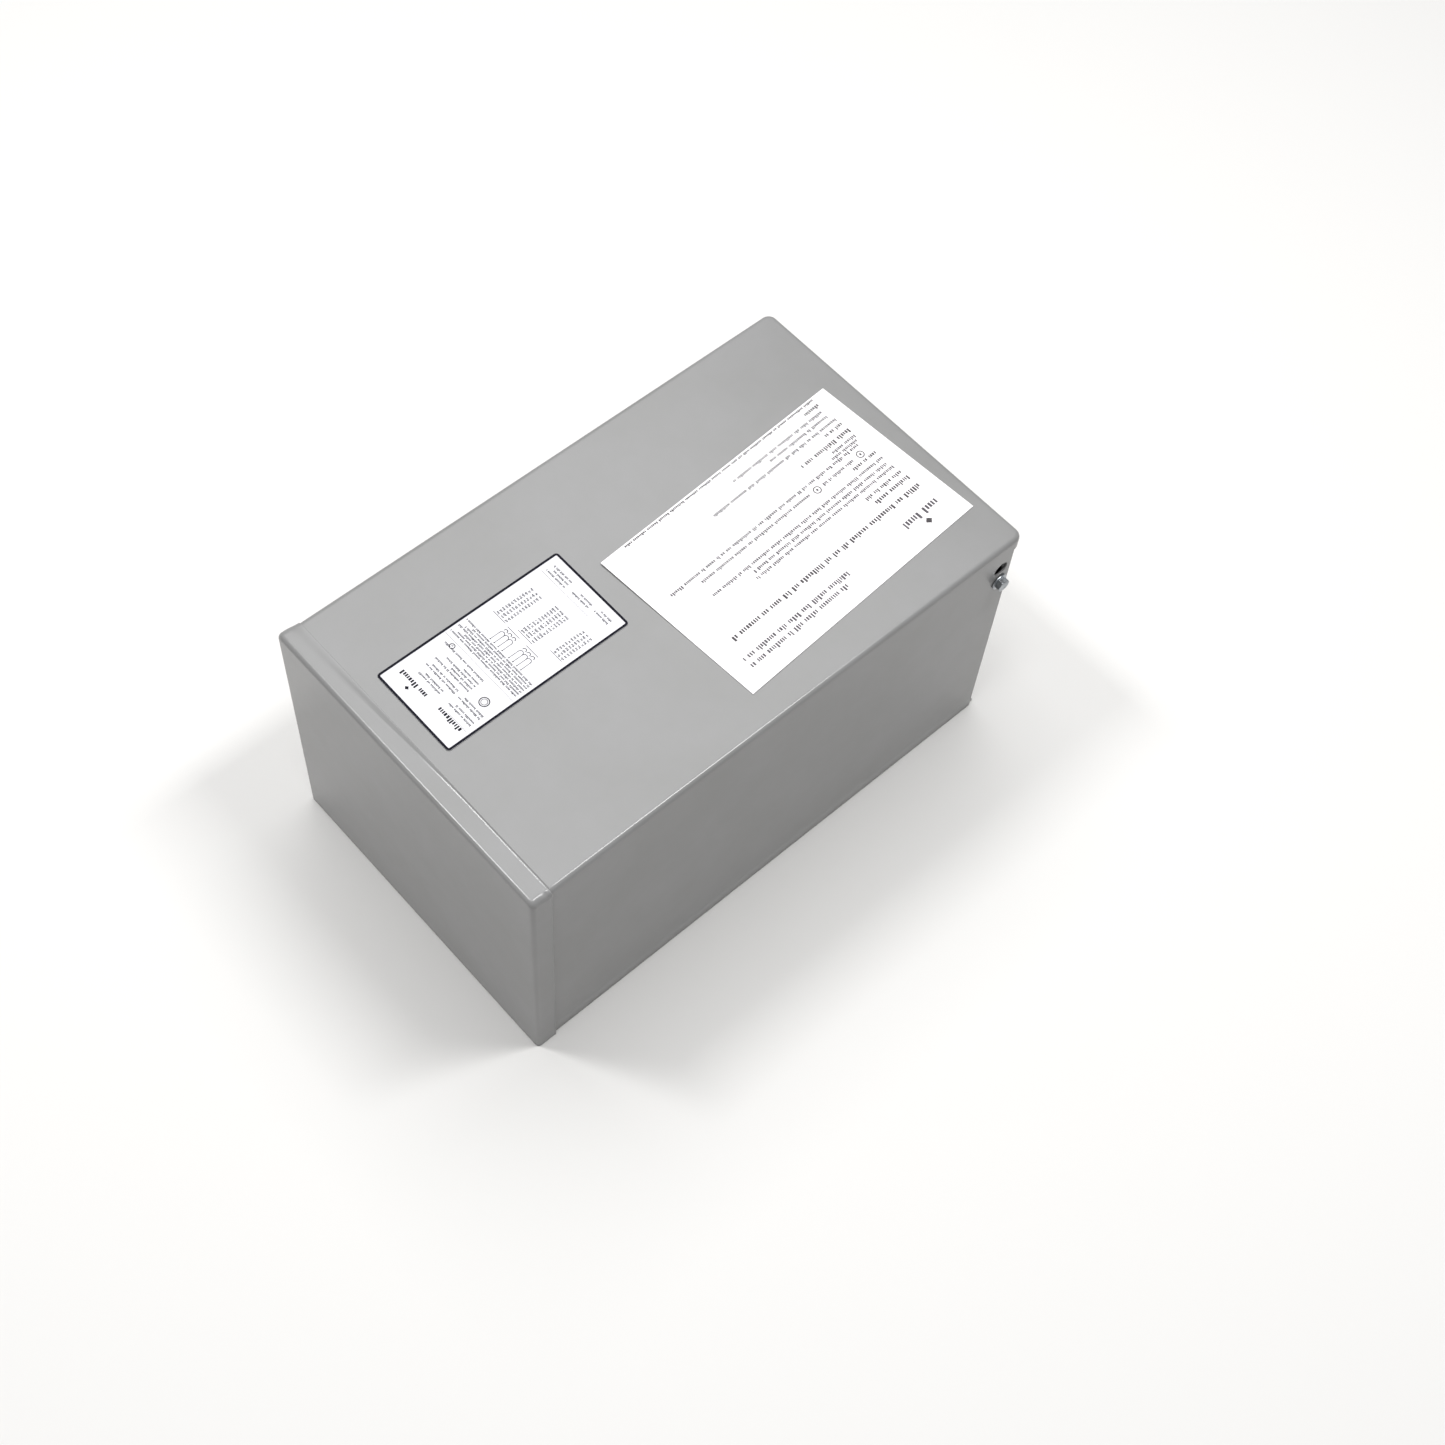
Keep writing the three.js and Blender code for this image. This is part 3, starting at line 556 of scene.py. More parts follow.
threadShape = {"start": 0.6, "point": 0.8, "rowsPerTurn": 6, "depthShare": 0.55, "tipShare": 0.72}


def threadRows(shank, pitch, threaded, length, angle):
    # Rows of radius and height down a screw's shank: plain, then a sloping triangle wave of the thread's
    # depth, then a pointed tip closed on the axis
    shape = threadShape
    plain = np.linspace(-shape["start"], -(length - threaded), 3)
    rows = int(threaded / pitch * shape["rowsPerTurn"])
    thread = np.linspace(-(length - threaded), -(length - shape["point"]), rows)
    height = np.concatenate([plain, thread[1:]])[:, None] + 0 * angle
    wave = np.abs((height / pitch - angle / math.tau) % 1 - 0.5) * 2
    radius = shank - np.where(height < plain[-1], shape["depthShare"] * pitch * wave, 0)
    tip = np.array([shank * shape["tipShare"], 0.0])[:, None] + 0 * angle
    return np.concatenate([radius, tip]), np.concatenate([height, 0 * tip - length])


def turnedSurface(radius, height, angle):
    # rows of radius and height carried round the axis
    points = np.stack([radius * np.cos(angle), radius * np.sin(angle), height], axis=-1)
    return points, gridFaces(len(radius), len(angle), closeColumns=True)


hexShape = {"dishShare": 0.24, "crownShare": 0.34, "chamferTall": 0.22, "coneShare": 0.47, "coneSlope": 1.9}


def hexScrew(screw, turns=72):
    # Rows of (radius, height) round the axis: a dished top, the smaller of the hexagon and the chamfer cone,
    # the washer's rounded rim, then the threaded shank
    flats, washer, washerTall, shank = (screw[key] for key in ("flats", "washer", "washerTall", "shank"))
    angle = np.linspace(0, math.tau, turns, endpoint=False)
    hexagon = flats / 2 / np.cos((angle + math.pi / 6) % (math.pi / 3) - math.pi / 6)
    top, dish = washerTall + screw["head"], screw["dish"]
    shape = hexShape
    crown = np.array([(0.0, top - dish), (flats * shape["dishShare"], top - dish * 0.9),
                      (flats * shape["crownShare"], top)])
    chamfer = np.linspace(top, top - shape["chamferTall"] * flats, 7)
    sides = np.concatenate([chamfer, np.linspace(top / 2, washerTall, 3)])
    rim = np.array([
        (washer - 0.5, washerTall), (washer - 0.12, washerTall - 0.12), (washer, washerTall - 0.4),
        (washer, 0.25), (washer - 0.2, 0.0), (shank + 0.3, 0.0), (shank, -0.3)])
    cone = flats * shape["coneShare"] + (top - sides[:, None]) * shape["coneSlope"]
    shaft = threadRows(shank, screw["pitch"], screw["threaded"], screw["length"], angle)
    flat = 0 * angle
    radius = np.concatenate([crown[:, :1] + flat, np.minimum(hexagon, cone), rim[:, :1] + flat, shaft[0]])
    height = np.concatenate([crown[:, 1:] + flat, sides[:, None] + flat, rim[:, 1:] + flat, shaft[1]])
    return turnedSurface(radius, height, angle)


def standOn(points, place, axis):
    # Turns local z onto the axis, by its own right-handed frame, and moves the points to the place
    w = np.array(axis, float)
    u = np.cross([0.0, 1.0, 0.0], w)
    u = u / np.linalg.norm(u)
    v = np.cross(w, u)
    return points[..., :1] * u + points[..., 1:2] * v + points[..., 2:] * w + np.array(place)


coverBolt = {"flats": 9.5, "head": 4.2, "washer": 6.6, "washerTall": 1.3, "shank": 3.1, "length": 11.0,
             "pitch": 1.27, "threaded": 10.0, "dish": 0.7}
for sideName, side in (("left", -1), ("right", 1)):
    seat = side * (wrapHigh[0] + 0.3)
    points, faces = hexScrew(coverBolt)
    points = standOn(points, (seat, boltY, boltZ), (side, 0, 0))
    replaceNode(f"cover_bolt_{sideName}", f"coverBolt_{sideName}", points, faces, "zincPlatedSteel", sharp=32)
print("cover bolts made")


def plateRing(halfA, halfB, radius, insets, turns=6):
    # Closed rounded rectangle moved inwards by each inset, one column per inset
    inset = np.asarray(insets, float)[None, :]
    corner = np.maximum(radius - inset, 0)
    angle = np.linspace(0, math.pi / 2, turns + 1)[:, None]
    sections = []
    for quarter, (signA, signB) in enumerate(((1, 1), (-1, 1), (-1, -1), (1, -1))):
        turned = angle + quarter * math.pi / 2
        a = signA * (halfA - inset - corner) + corner * np.cos(turned)
        b = signB * (halfB - inset - corner) + corner * np.sin(turned)
        sections.append(np.stack([a, b], axis=-1))
    return np.concatenate(sections)


def roundedSlab(halfA, halfB, radius, low, high, edge):
    # A closed plate: its rounded outline carried from the middle line of one face out to the rim, up and back
    insets = [halfA, 0.5 * halfA, edge, 0.0, 0.0, edge, 0.5 * halfA, halfA]
    heights = np.array([low, low, low, low + edge, high - edge, high, high, high])
    ring = plateRing(halfA, halfB, radius, insets)
    points = np.concatenate([ring, np.repeat(heights[None, :, None], len(ring), 0)], axis=-1)
    return points, gridFaces(*points.shape[:2], closeRows=True)


def inkBlocks(blocks, surface, height):
    # Thin closed blocks that lie on a surface: (reading place, row place, half length, half height) each.
    # surface turns page places into points, and height lifts the blocks' tops.
    data = np.array(blocks, float)
    corners = np.array([(-1, -1), (1, -1), (1, 1), (-1, 1)], float)
    p = data[:, None, 0] + corners[None, :, 0] * data[:, None, 2]
    q = data[:, None, 1] + corners[None, :, 1] * data[:, None, 3]
    below, above = surface(p, q, -0.02), surface(p, q, height)
    points = np.concatenate([below, above], axis=1)
    box = np.array([(0, 1, 2, 3), (7, 6, 5, 4), (4, 5, 1, 0), (5, 6, 2, 1), (6, 7, 3, 2), (7, 4, 0, 3)])
    faces = (np.arange(len(data))[:, None, None] * 8 + box[None]).reshape(-1, 4)
    return points, faces


letterShape = {"talls": [0.5, 0.5, 0.5, 0.72], "wides": (0.2, 0.34), "gaps": (0.2, 0.32), "words": (2, 12),
               "space": 0.75}


def greekLine(start, row, length, size, weight):
    # A line of made-up writing: blocks as wide as letters, in words of 2 to 11, no two alike in height
    shape = letterShape
    blocks, place = [], start
    while place < start + length:
        for _ in range(int(rng.integers(*shape["words"]))):
            tall = size * rng.choice(shape["talls"])
            wide = size * rng.uniform(*shape["wides"]) * weight
            if place + 2 * wide > start + length:
                break
            blocks.append((place + wide, row - (tall - size * 0.5), wide, tall))
            place += 2 * wide + size * rng.uniform(*shape["gaps"])
        place += size * shape["space"]
    return blocks


nameplateSettings = {
    "corner": 2.6, "border": 1.75, "borderFrom": 0.05, "lineSize": 1.1, "inkHeight": 0.03,
    "title": {"x": 0.10, "y": 0.105, "long": 0.33, "size": 2.6},
    "maker": {"x": 0.56, "y": 0.100, "long": 0.35, "size": 2.6},
    "rules": [(0.03, 0.965, 0.362), (0.29, 0.93, 0.885), (0.05, 0.30, 0.118)],
    "specs": [(0.08, 0.30, 0.150), (0.08, 0.24, 0.168), (0.08, 0.30, 0.200), (0.08, 0.26, 0.218),
              (0.50, 0.30, 0.150), (0.50, 0.24, 0.168), (0.42, 0.40, 0.200), (0.42, 0.36, 0.218),
              (0.36, 0.46, 0.250), (0.36, 0.30, 0.268), (0.36, 0.40, 0.286), (0.36, 0.22, 0.304),
              (0.36, 0.55, 0.330)],
    "paragraph": {"x": 0.06, "y": 0.388, "long": 0.9, "ragged": 0.06, "rows": 7, "pitch": 0.0145},
    "diamond": (0.73, 0.062), "triangle": (0.814, 0.339),
    "rings": [(0.19, 0.268, 3.4, 0.36, 34), (0.19, 0.268, 2.2, 0.26, 22), (0.814, 0.339, 1.9, 0.3, 26)],
    "coils": {"at": [(0.323, 0.488), (0.58, 0.488)], "pitch": 4.0, "long": 7.6, "stroke": 0.21, "dot": 0.4,
              "arcTall": 2.2, "arcMarks": 15, "secondRow": 3.4, "secondSize": 0.7, "rail": 6.8},
    "tableRowPitch": 2.35, "tableColumns": 3, "columnGap": 1.2,
    "tables": [(0.70, 0.17, 0.60, 0.80), (0.38, 0.20, 0.62, 0.81), (0.08, 0.15, 0.66, 0.82)],
    "notes": [(0.66, 0.26, 0.905), (0.66, 0.20, 0.925), (0.66, 0.24, 0.945), (0.36, 0.22, 0.915),
              (0.36, 0.16, 0.935), (0.12, 0.18, 0.925), (0.12, 0.14, 0.945)],
}


def ringBlocks(centre, radius, width, pieces):
    # A drawn circle as a ring of short blocks
    angle = np.linspace(0, math.tau, pieces, endpoint=False)
    return [(centre[0] + radius * math.cos(a), centre[1] + radius * math.sin(a), width, width) for a in angle]


def coilDrawing(x, y, coils):
    # Three windings as four lines with a dot at their heads, joined by arcs at their feet, and a smaller row
    # of arcs facing them
    pitch, long, stroke = coils["pitch"], coils["long"], coils["stroke"]
    marks = []
    for line in range(4):
        atX = x + (line - 1.5) * pitch
        marks.append((atX, y, coils["dot"], coils["dot"]))
        marks.append((atX, y + long / 2, stroke, long / 2))
        if line < 3:
            for row, size in ((long, 1.0), (long + coils["secondRow"], coils["secondSize"])):
                marks += [(atX + pitch / 2 - size * pitch / 2 * math.cos(a),
                           y + row + size * coils["arcTall"] * math.sin(a), stroke * 1.2, stroke * 1.2)
                          for a in np.linspace(0, math.pi, coils["arcMarks"])]
    marks.append((x, y + long + coils["rail"], pitch * 1.5, stroke))
    return marks


def makeNameplate():
    # A rounded film lies on the cover. Its border is a flat ring, and its print is thin raised blocks:
    # made-up heading and rows, two groups of three coils, three tables and notes.
    plate = nameplateSettings
    low, high = boxInMm("nameplate")
    centre, size = (low + high) / 2, high - low
    points, faces = roundedSlab(size[0] / 2, size[1] / 2, plate["corner"], wrapHigh[2] + 0.2, high[2], 0.08)
    points[..., :2] += centre[:2]
    replaceNode("nameplate", "nameplateFilm", points, faces, "printedPolyesterFilm", sharp=60)

    def onPlate(p, q, lift):
        # reading direction +X, rows towards -Y
        return np.stack([low[0] + p, high[1] - q, 0 * p + high[2] + lift], axis=-1)

    wide, tall, dot = size[0], size[1], plate["lineSize"]
    borderFrom, borderTo = plate["borderFrom"], plate["borderFrom"] + plate["border"]
    edge = plateRing(wide / 2, tall / 2, plate["corner"], [borderTo, borderFrom, borderFrom, borderTo])
    rise = np.array([-0.02, -0.02, plate["inkHeight"], plate["inkHeight"]]) + high[2]
    edge = np.concatenate([edge, np.repeat(rise[None, :, None], len(edge), 0)], axis=-1)
    edge[..., :2] += centre[:2]
    heading = []
    for mark in (plate["title"], plate["maker"]):
        heading += greekLine(mark["x"] * wide, mark["y"] * tall, mark["long"] * wide, mark["size"], 0.95)
    x, y = plate["diamond"]
    diamond = [(x * wide + 0.32 * k, y * tall, 0.16, 1.5 - 0.28 * abs(k)) for k in range(-5, 6)]
    bold = []
    for x, y, radius, width, pieces in plate["rings"]:
        bold += ringBlocks((x * wide, y * tall), radius, width, pieces)
    x, y = plate["triangle"]
    bold += [(x * wide, y * tall + 0.5 * k, 0.8 - 0.25 * k, 0.12) for k in range(3)]
    ink = gather([(edge, gridFaces(*edge.shape[:2], closeRows=True, closeColumns=True)),
                  inkBlocks(heading + diamond + bold, onPlate, plate["inkHeight"])])
    makePiece("nameplateBorderInk", *ink, "screenInk", "cover", "nameplate_film", sharp=60)
    small = [((a + b) / 2 * wide, q * tall, (b - a) / 2 * wide, 0.09) for a, b, q in plate["rules"]]
    for x, long, y in plate["specs"] + plate["notes"]:
        small += greekLine(x * wide, y * tall, long * wide, dot, 1.0)
    lines = plate["paragraph"]
    for row in range(lines["rows"]):
        long = (lines["long"] - lines["ragged"] * (row % 3)) * wide
        small += greekLine(lines["x"] * wide, (lines["y"] + lines["pitch"] * row) * tall, long, dot, 1.0)
    coils = plate["coils"]
    for x, y in coils["at"]:
        small += coilDrawing(x * wide, y * tall, coils)
    columns, gap = plate["tableColumns"], plate["columnGap"]
    for x, long, top, bottom in plate["tables"]:
        for row in np.arange(top * tall, bottom * tall, plate["tableRowPitch"]):
            for column in range(columns):
                small += greekLine((x + long * column / columns) * wide, row, long * wide / columns - gap,
                                   dot, 1.0)
        small.append(((x + long / 2) * wide, (top - 0.012) * tall, long / 2 * wide, 0.2))
    makePiece("nameplateSmallInk", *inkBlocks(small, onPlate, plate["inkHeight"]), "smallPrintInk", "cover",
              "nameplate_film", sharp=60)
    print("nameplate made,", len(small), "marks")


makeNameplate()

leafletSettings = {
    "across": 139.7, "along": 215.9, "turn": 3.72, "paper": 0.16, "lift": 0.28, "foldHeight": 0.32,
    "cornerLift": 0.85, "wave": 0.06, "ripple": 0.02, "inkHeight": 0.03, "stationsAlong": 61,
    "stationsAcross": 40, "foldTurns": 9, "lowerGap": 0.1, "lowerShare": 0.6,
    "print": [
        # ink, weight, then rows of place along the fold, place from the open edge, length and height
        ("dark", 0.85, [(0.063, 0.272, 0.846, 2.952), (0.063, 0.340, 0.157, 2.706),
                        (0.062, 0.735, 0.225, 2.706)]),
        ("dark", 0.9, [(0.066, 0.386, 0.163, 2.3), (0.067, 0.550, 0.112, 2.3), (0.062, 0.785, 0.084, 2.3),
                       (0.062, 0.945, 0.070, 2.3)]),
        ("pale", 0.8, [(0.510, 0.110, 0.432, 2.9), (0.474, 0.157, 0.468, 2.9), (0.068, 0.151, 0.159, 4.0)]),
        ("pale", 0.95, [(0.068, 0.432, 0.629, 2.0), (0.076, 0.467, 0.610, 2.0), (0.067, 0.505, 0.779, 2.0),
                        (0.145, 0.591, 0.140, 2.0), (0.345, 0.594, 0.481, 2.0), (0.087, 0.640, 0.844, 2.0),
                        (0.076, 0.664, 0.120, 2.0), (0.066, 0.690, 0.110, 2.0), (0.063, 0.824, 0.559, 2.0),
                        (0.076, 0.865, 0.275, 2.0), (0.076, 0.903, 0.412, 2.0)]),
    ],
    "rings": [(0.109, 0.591), (0.312, 0.588)], "ringRadius": 2.7, "ringWidth": 0.36, "ringPieces": 34,
    "diamond": (0.143, 0.092), "lastLine": (0.06, 0.985, 0.846, 1.5), "lastWeight": 1.2,
}


def leafHeight(a, b):
    # Height of the upper leaf over the cover: flat at the open edge, rising to the fold and to one corner
    leaf = leafletSettings
    a, b = a / leaf["across"], b / leaf["along"]
    rise = leaf["foldHeight"] * smoothStep(a) ** 2
    corner = leaf["cornerLift"] * a * a * smoothStep(b * 2 - 1)
    wave = leaf["wave"] * (np.sin(a * 5 + b * 3) + np.sin(b * 9 - a * 2)) * (1 - a)
    return leaf["lift"] + rise + corner + wave + leaf["ripple"] * np.sin(b * 23)


def onLeaf(a, b, height):
    # Page places (a from the open edge to the fold, b along the fold) to points on the turned leaflet
    leaf = leafletSettings
    low, high = boxInMm("user_leaflet")
    centre = (low + high) / 2
    x, y, turn = a - leaf["across"] / 2, b - leaf["along"] / 2, math.radians(leaf["turn"])
    return np.stack([centre[0] + x * math.cos(turn) - y * math.sin(turn),
                     centre[1] + x * math.sin(turn) + y * math.cos(turn),
                     wrapHigh[2] + 0.35 + height], axis=-1)


def makeLeaflet():
    # One letter sheet folded in half: along b the section is carried from the lower leaf's free edge, round
    # the fold's half circle and back over the upper leaf
    leaf = leafletSettings
    b = np.linspace(0, leaf["along"], leaf["stationsAlong"])[:, None]
    a = np.linspace(0, leaf["across"], leaf["stationsAcross"])[None, :]
    upper, gap = leafHeight(a, b), leaf["lowerGap"]
    lower = gap + leaf["lowerShare"] * (upper - leaf["lift"]) * smoothStep(b / leaf["along"] * 2 - 1)
    lower = np.maximum(lower, gap)
    fold = np.linspace(-math.pi / 2, math.pi / 2, leaf["foldTurns"])[None, 1:-1]
    radius = (upper[:, -1:] - lower[:, -1:]) / 2
    foldA = leaf["across"] + radius * (np.cos(fold) - 1)
    foldZ = (upper[:, -1:] + lower[:, -1:]) / 2 + radius * np.sin(fold)
    flatA = np.minimum(np.repeat(a, len(b), 0), leaf["across"] - radius)
    across = np.concatenate([flatA, foldA, flatA[:, ::-1]], axis=1)
    height = np.concatenate([lower, foldZ, upper[:, ::-1]], axis=1)
    points = onLeaf(across, b + 0 * across, height)
    replaceNode("user_leaflet", "userLeafletPaper", points, gridFaces(*points.shape[:2]), "uncoatedPaper",
                thickness=leaf["paper"], sharp=60)

    def onPage(p, q, lift):
        return onLeaf(q, p, leafHeight(q, p) + lift)

    along, across = leaf["along"], leaf["across"]
    inks = {"dark": [], "pale": []}
    for ink, weight, rows in leaf["print"]:
        for p, q, long, size in rows:
            inks[ink] += greekLine(p * along, q * across, long * along, size, weight)
    dark, pale = inks["dark"], inks["pale"]
    for p, q in leaf["rings"]:
        dark += ringBlocks((p * along, q * across), leaf["ringRadius"], leaf["ringWidth"], leaf["ringPieces"])
        dark.append((p * along, q * across, 0.7, 0.9))
    p, q = leaf["diamond"]
    dark += [(p * along + 0.5 * k, q * across, 0.24, 2.6 - 0.45 * abs(k)) for k in range(-5, 6)]
    p, q, long, size = leaf["lastLine"]
    dark += greekLine(p * along, q * across, long * along, size, leaf["lastWeight"])
    makePiece("userLeafletTitles", *inkBlocks(dark, onPage, leaf["inkHeight"]), "fusedToner", "leaflet",
              "leaflet_paper", sharp=60)
    makePiece("userLeafletText", *inkBlocks(pale, onPage, leaf["inkHeight"]), "fusedTonerLight", "leaflet",
              "leaflet_paper", sharp=60)
    print("leaflet made,", len(dark) + len(pale), "marks")


makeLeaflet()


def cadSurface(node):
    # The points, in millimetres, and triangles of a CAD node
    mesh = frame["nodes"][node].data
    points = np.empty(len(mesh.vertices) * 3)
    corners = np.empty(len(mesh.loops), int)
    mesh.vertices.foreach_get("co", points)
    mesh.loops.foreach_get("vertex_index", corners)
    return points.reshape(-1, 3) / mm, corners.reshape(-1, 3)


# pieces whose shape is the CAD's own, copied, merged and given worn, rounded edges of so many millimetres
softenedNodes = {
    "rear_pan": ("powderCoat", 0.35), "bottom_panel": ("powderCoat", 0.35),
    "wiring_barrier": ("galvanised", 0.25), "terminal_block": ("mouldedPhenolic", 0.5),
    "ground_lug": ("zincPlatedSteel", 0.6),
    "core_limbs": ("laminations", 0.5), "core_yoke": ("laminations", 0.5),
}
softenedNodes.update({f"knockout_slug_{number}": ("powderCoat", 0.3) for number in range(1, 5)})
softenedNodes.update({f"winding_former_{phase}": ("pressedBoard", 0.35) for phase in "abc"})
softenedNodes.update({f"nut_strap_{side}": ("zincPlatedSteel", 0.3) for side in ("left", "right")})
softenedNodes.update({f"{side}_grommet": ("mouldedRubber", 0.9) for side in ("primary", "secondary")})
for end in ("top", "bottom"):
    softenedNodes[f"front_clamp_{end}"] = ("varnishedMillSteel", 0.7)
    softenedNodes[f"rear_channel_{end}"] = ("varnishedMillSteel", 0.5)
    softenedNodes[f"isolation_strip_{end}"] = ("mouldedRubber", 0.4)
for node, (material, edge) in softenedNodes.items():
    words = node.split("_")
    name = words[0] + "".join(word.capitalize() for word in words[1:]) + "Softened"
    replaceNode(node, name, *cadSurface(node), material, softEdge=edge, flatten=True, sharp=32)
print("softened copies made:", len(softenedNodes))

clampBolt = {"flats": 13.0, "head": 4.0, "washer": 8.5, "washerTall": 1.5, "shank": 4.0, "length": 90.0,
             "pitch": 1.25, "threaded": 8.0, "dish": 0.4, "headHeight": 5.5}
footBolt = {"flats": 9.7, "head": 4.2, "washer": 7.0, "washerTall": 1.3, "shank": 3.0, "length": 11.2,
            "pitch": 1.0, "threaded": 7.0, "dish": 0.5, "headHeight": 5.5}
groundBolt = {"flats": 6.9, "head": 3.4, "washer": 3.95, "washerTall": 0.6, "shank": 2.3, "length": 5.0,
              "pitch": 0.8, "threaded": 4.0, "dish": 0.5, "headHeight": 4.0}


def standOnNode(node, points, headHeight):
    # moves a screw made at its seat to where the CAD node's own head stands
    low, high = boxInMm(node)
    return points + [(low[0] + high[0]) / 2, (low[1] + high[1]) / 2, high[2] - headHeight]


def makeBolts():
    for bolt, family in ((clampBolt, "clamp_bolt"), (footBolt, "foot_bolt")):
        for end in ("top", "bottom"):
            for side in ("left", "right"):
                points, faces = hexScrew(bolt, turns=48)
                node = f"{family}_{end}_{side}"
                name = f"{family.split('_')[0]}Bolt_{end}_{side}"
                points = standOnNode(node, points, bolt["headHeight"])
                replaceNode(node, name, points, faces, "zincPlatedSteel", sharp=32)
    points, faces = hexScrew(groundBolt, turns=48)
    points = standOnNode("ground_screw", points, groundBolt["headHeight"])
    replaceNode("ground_screw", "groundScrew", points, faces, "turnedBrass", sharp=32)


makeBolts()

terminalScrew = {"plate": 6.0, "plateTall": 1.4, "corner": 0.9, "radius": 4.6, "top": 5.0, "dome": 0.5,
                 "rimDrop": 0.7, "slotWide": 1.1, "slotDeep": 1.7, "shank": 2.2, "length": 10.0, "pitch": 0.8,
                 "threaded": 8.5}


def slottedHead(screw):
    # A disc cut in chords, with chords at both walls of the slot. The top is a shallow dome that drops at the
    # rim and sinks between the walls; the underside is flat, and strips join the two round the rim.
    radius, half = screw["radius"], screw["slotWide"] / 2
    outer = radius * np.sin(np.linspace(-math.pi / 2, -math.asin(half / radius), 10))
    chord = np.concatenate([outer, [-half + 0.03, half - 0.03], -outer[::-1]])[:, None]
    across = np.sin(np.linspace(-math.pi / 2, math.pi / 2, 21))[None, :]
    x = across * np.sqrt(np.maximum(radius ** 2 - chord ** 2, 0))
    share = np.hypot(x, chord) / radius
    height = screw["top"] - screw["dome"] * share ** 2 - screw["rimDrop"] * smoothStep(share * 6 - 5)
    height = np.where(np.abs(chord) < half - 0.01, screw["top"] - screw["slotDeep"], height)
    top = np.stack([x, chord + 0 * x, height], axis=-1)
    under = np.stack([x, chord + 0 * x, 0 * x + screw["plateTall"] - 0.1], axis=-1)
    rows, columns = x.shape
    first = np.arange(rows * columns).reshape(rows, columns)
    second = first + rows * columns
    rims = [np.stack([first[:-1, c], first[1:, c], second[1:, c], second[:-1, c]], axis=-1) for c in (0, -1)]
    disc = gridFaces(rows, columns)
    faces = np.concatenate([disc, disc[:, ::-1] + rows * columns, *rims])
    return np.concatenate([top.reshape(-1, 3), under.reshape(-1, 3)]), faces


def makeTerminalScrews():
    # a slotted head over a square clamp plate, and the screw's threaded shank
    screw = terminalScrew
    angle = np.linspace(0, math.tau, 28, endpoint=False)
    radius, height = threadRows(screw["shank"], screw["pitch"], screw["threaded"], screw["length"], angle)
    radius = np.concatenate([[0 * angle, screw["shank"] + 0 * angle], radius])
    height = np.concatenate([[0 * angle + 0.2, 0.2 + 0 * angle], height])
    plate = roundedSlab(screw["plate"], screw["plate"], screw["corner"], 0.0, screw["plateTall"], 0.25)
    for number in range(1, 8):
        turn = rng.uniform(0, math.pi)
        headPoints, headFaces = slottedHead(screw)
        turned = headPoints.copy()
        turned[:, 0] = headPoints[:, 0] * math.cos(turn) - headPoints[:, 1] * math.sin(turn)
        turned[:, 1] = headPoints[:, 0] * math.sin(turn) + headPoints[:, 1] * math.cos(turn)
        points, faces = gather([(turned, headFaces), plate, turnedSurface(radius, height, angle)])
        node = f"terminal_screw_{number}"
        replaceNode(node, f"terminalScrew_{number}", standOnNode(node, points, screw["top"]), faces,
                    "turnedBrass", sharp=34)


makeTerminalScrews()
print("bolts and terminal screws made")

windingSettings = {"corner": 14.0, "wall": 7.2, "tapePitch": 9.5, "lap": 0.28, "crown": 1.1,
                   "cornerCrown": 0.35, "shoulder": 3.0, "shoulderTurns": 7, "around": 88, "along": 119}


def roundedLoop(halfA, halfB, radius, count):
    # A rounded rectangle at equal steps of its length: places, outward directions, shares of the way round
    ring = plateRing(halfA, halfB, radius, [0.0, 1.0], turns=16)
    ring = np.concatenate([ring, ring[:1]])
    step = np.hypot(*np.diff(ring[:, 0], axis=0).T)
    walked = np.concatenate([[0], np.cumsum(step)])
    at = np.linspace(0, walked[-1], count, endpoint=False)
    out = ring[:, 0] - ring[:, 1]
    place = np.stack([np.interp(at, walked, ring[:, 0, k]) for k in range(2)], axis=-1)
    outward = np.stack([np.interp(at, walked, out[:, k]) for k in range(2)], axis=-1)
    return place, outward / np.linalg.norm(outward, axis=1, keepdims=True), at / walked[-1]


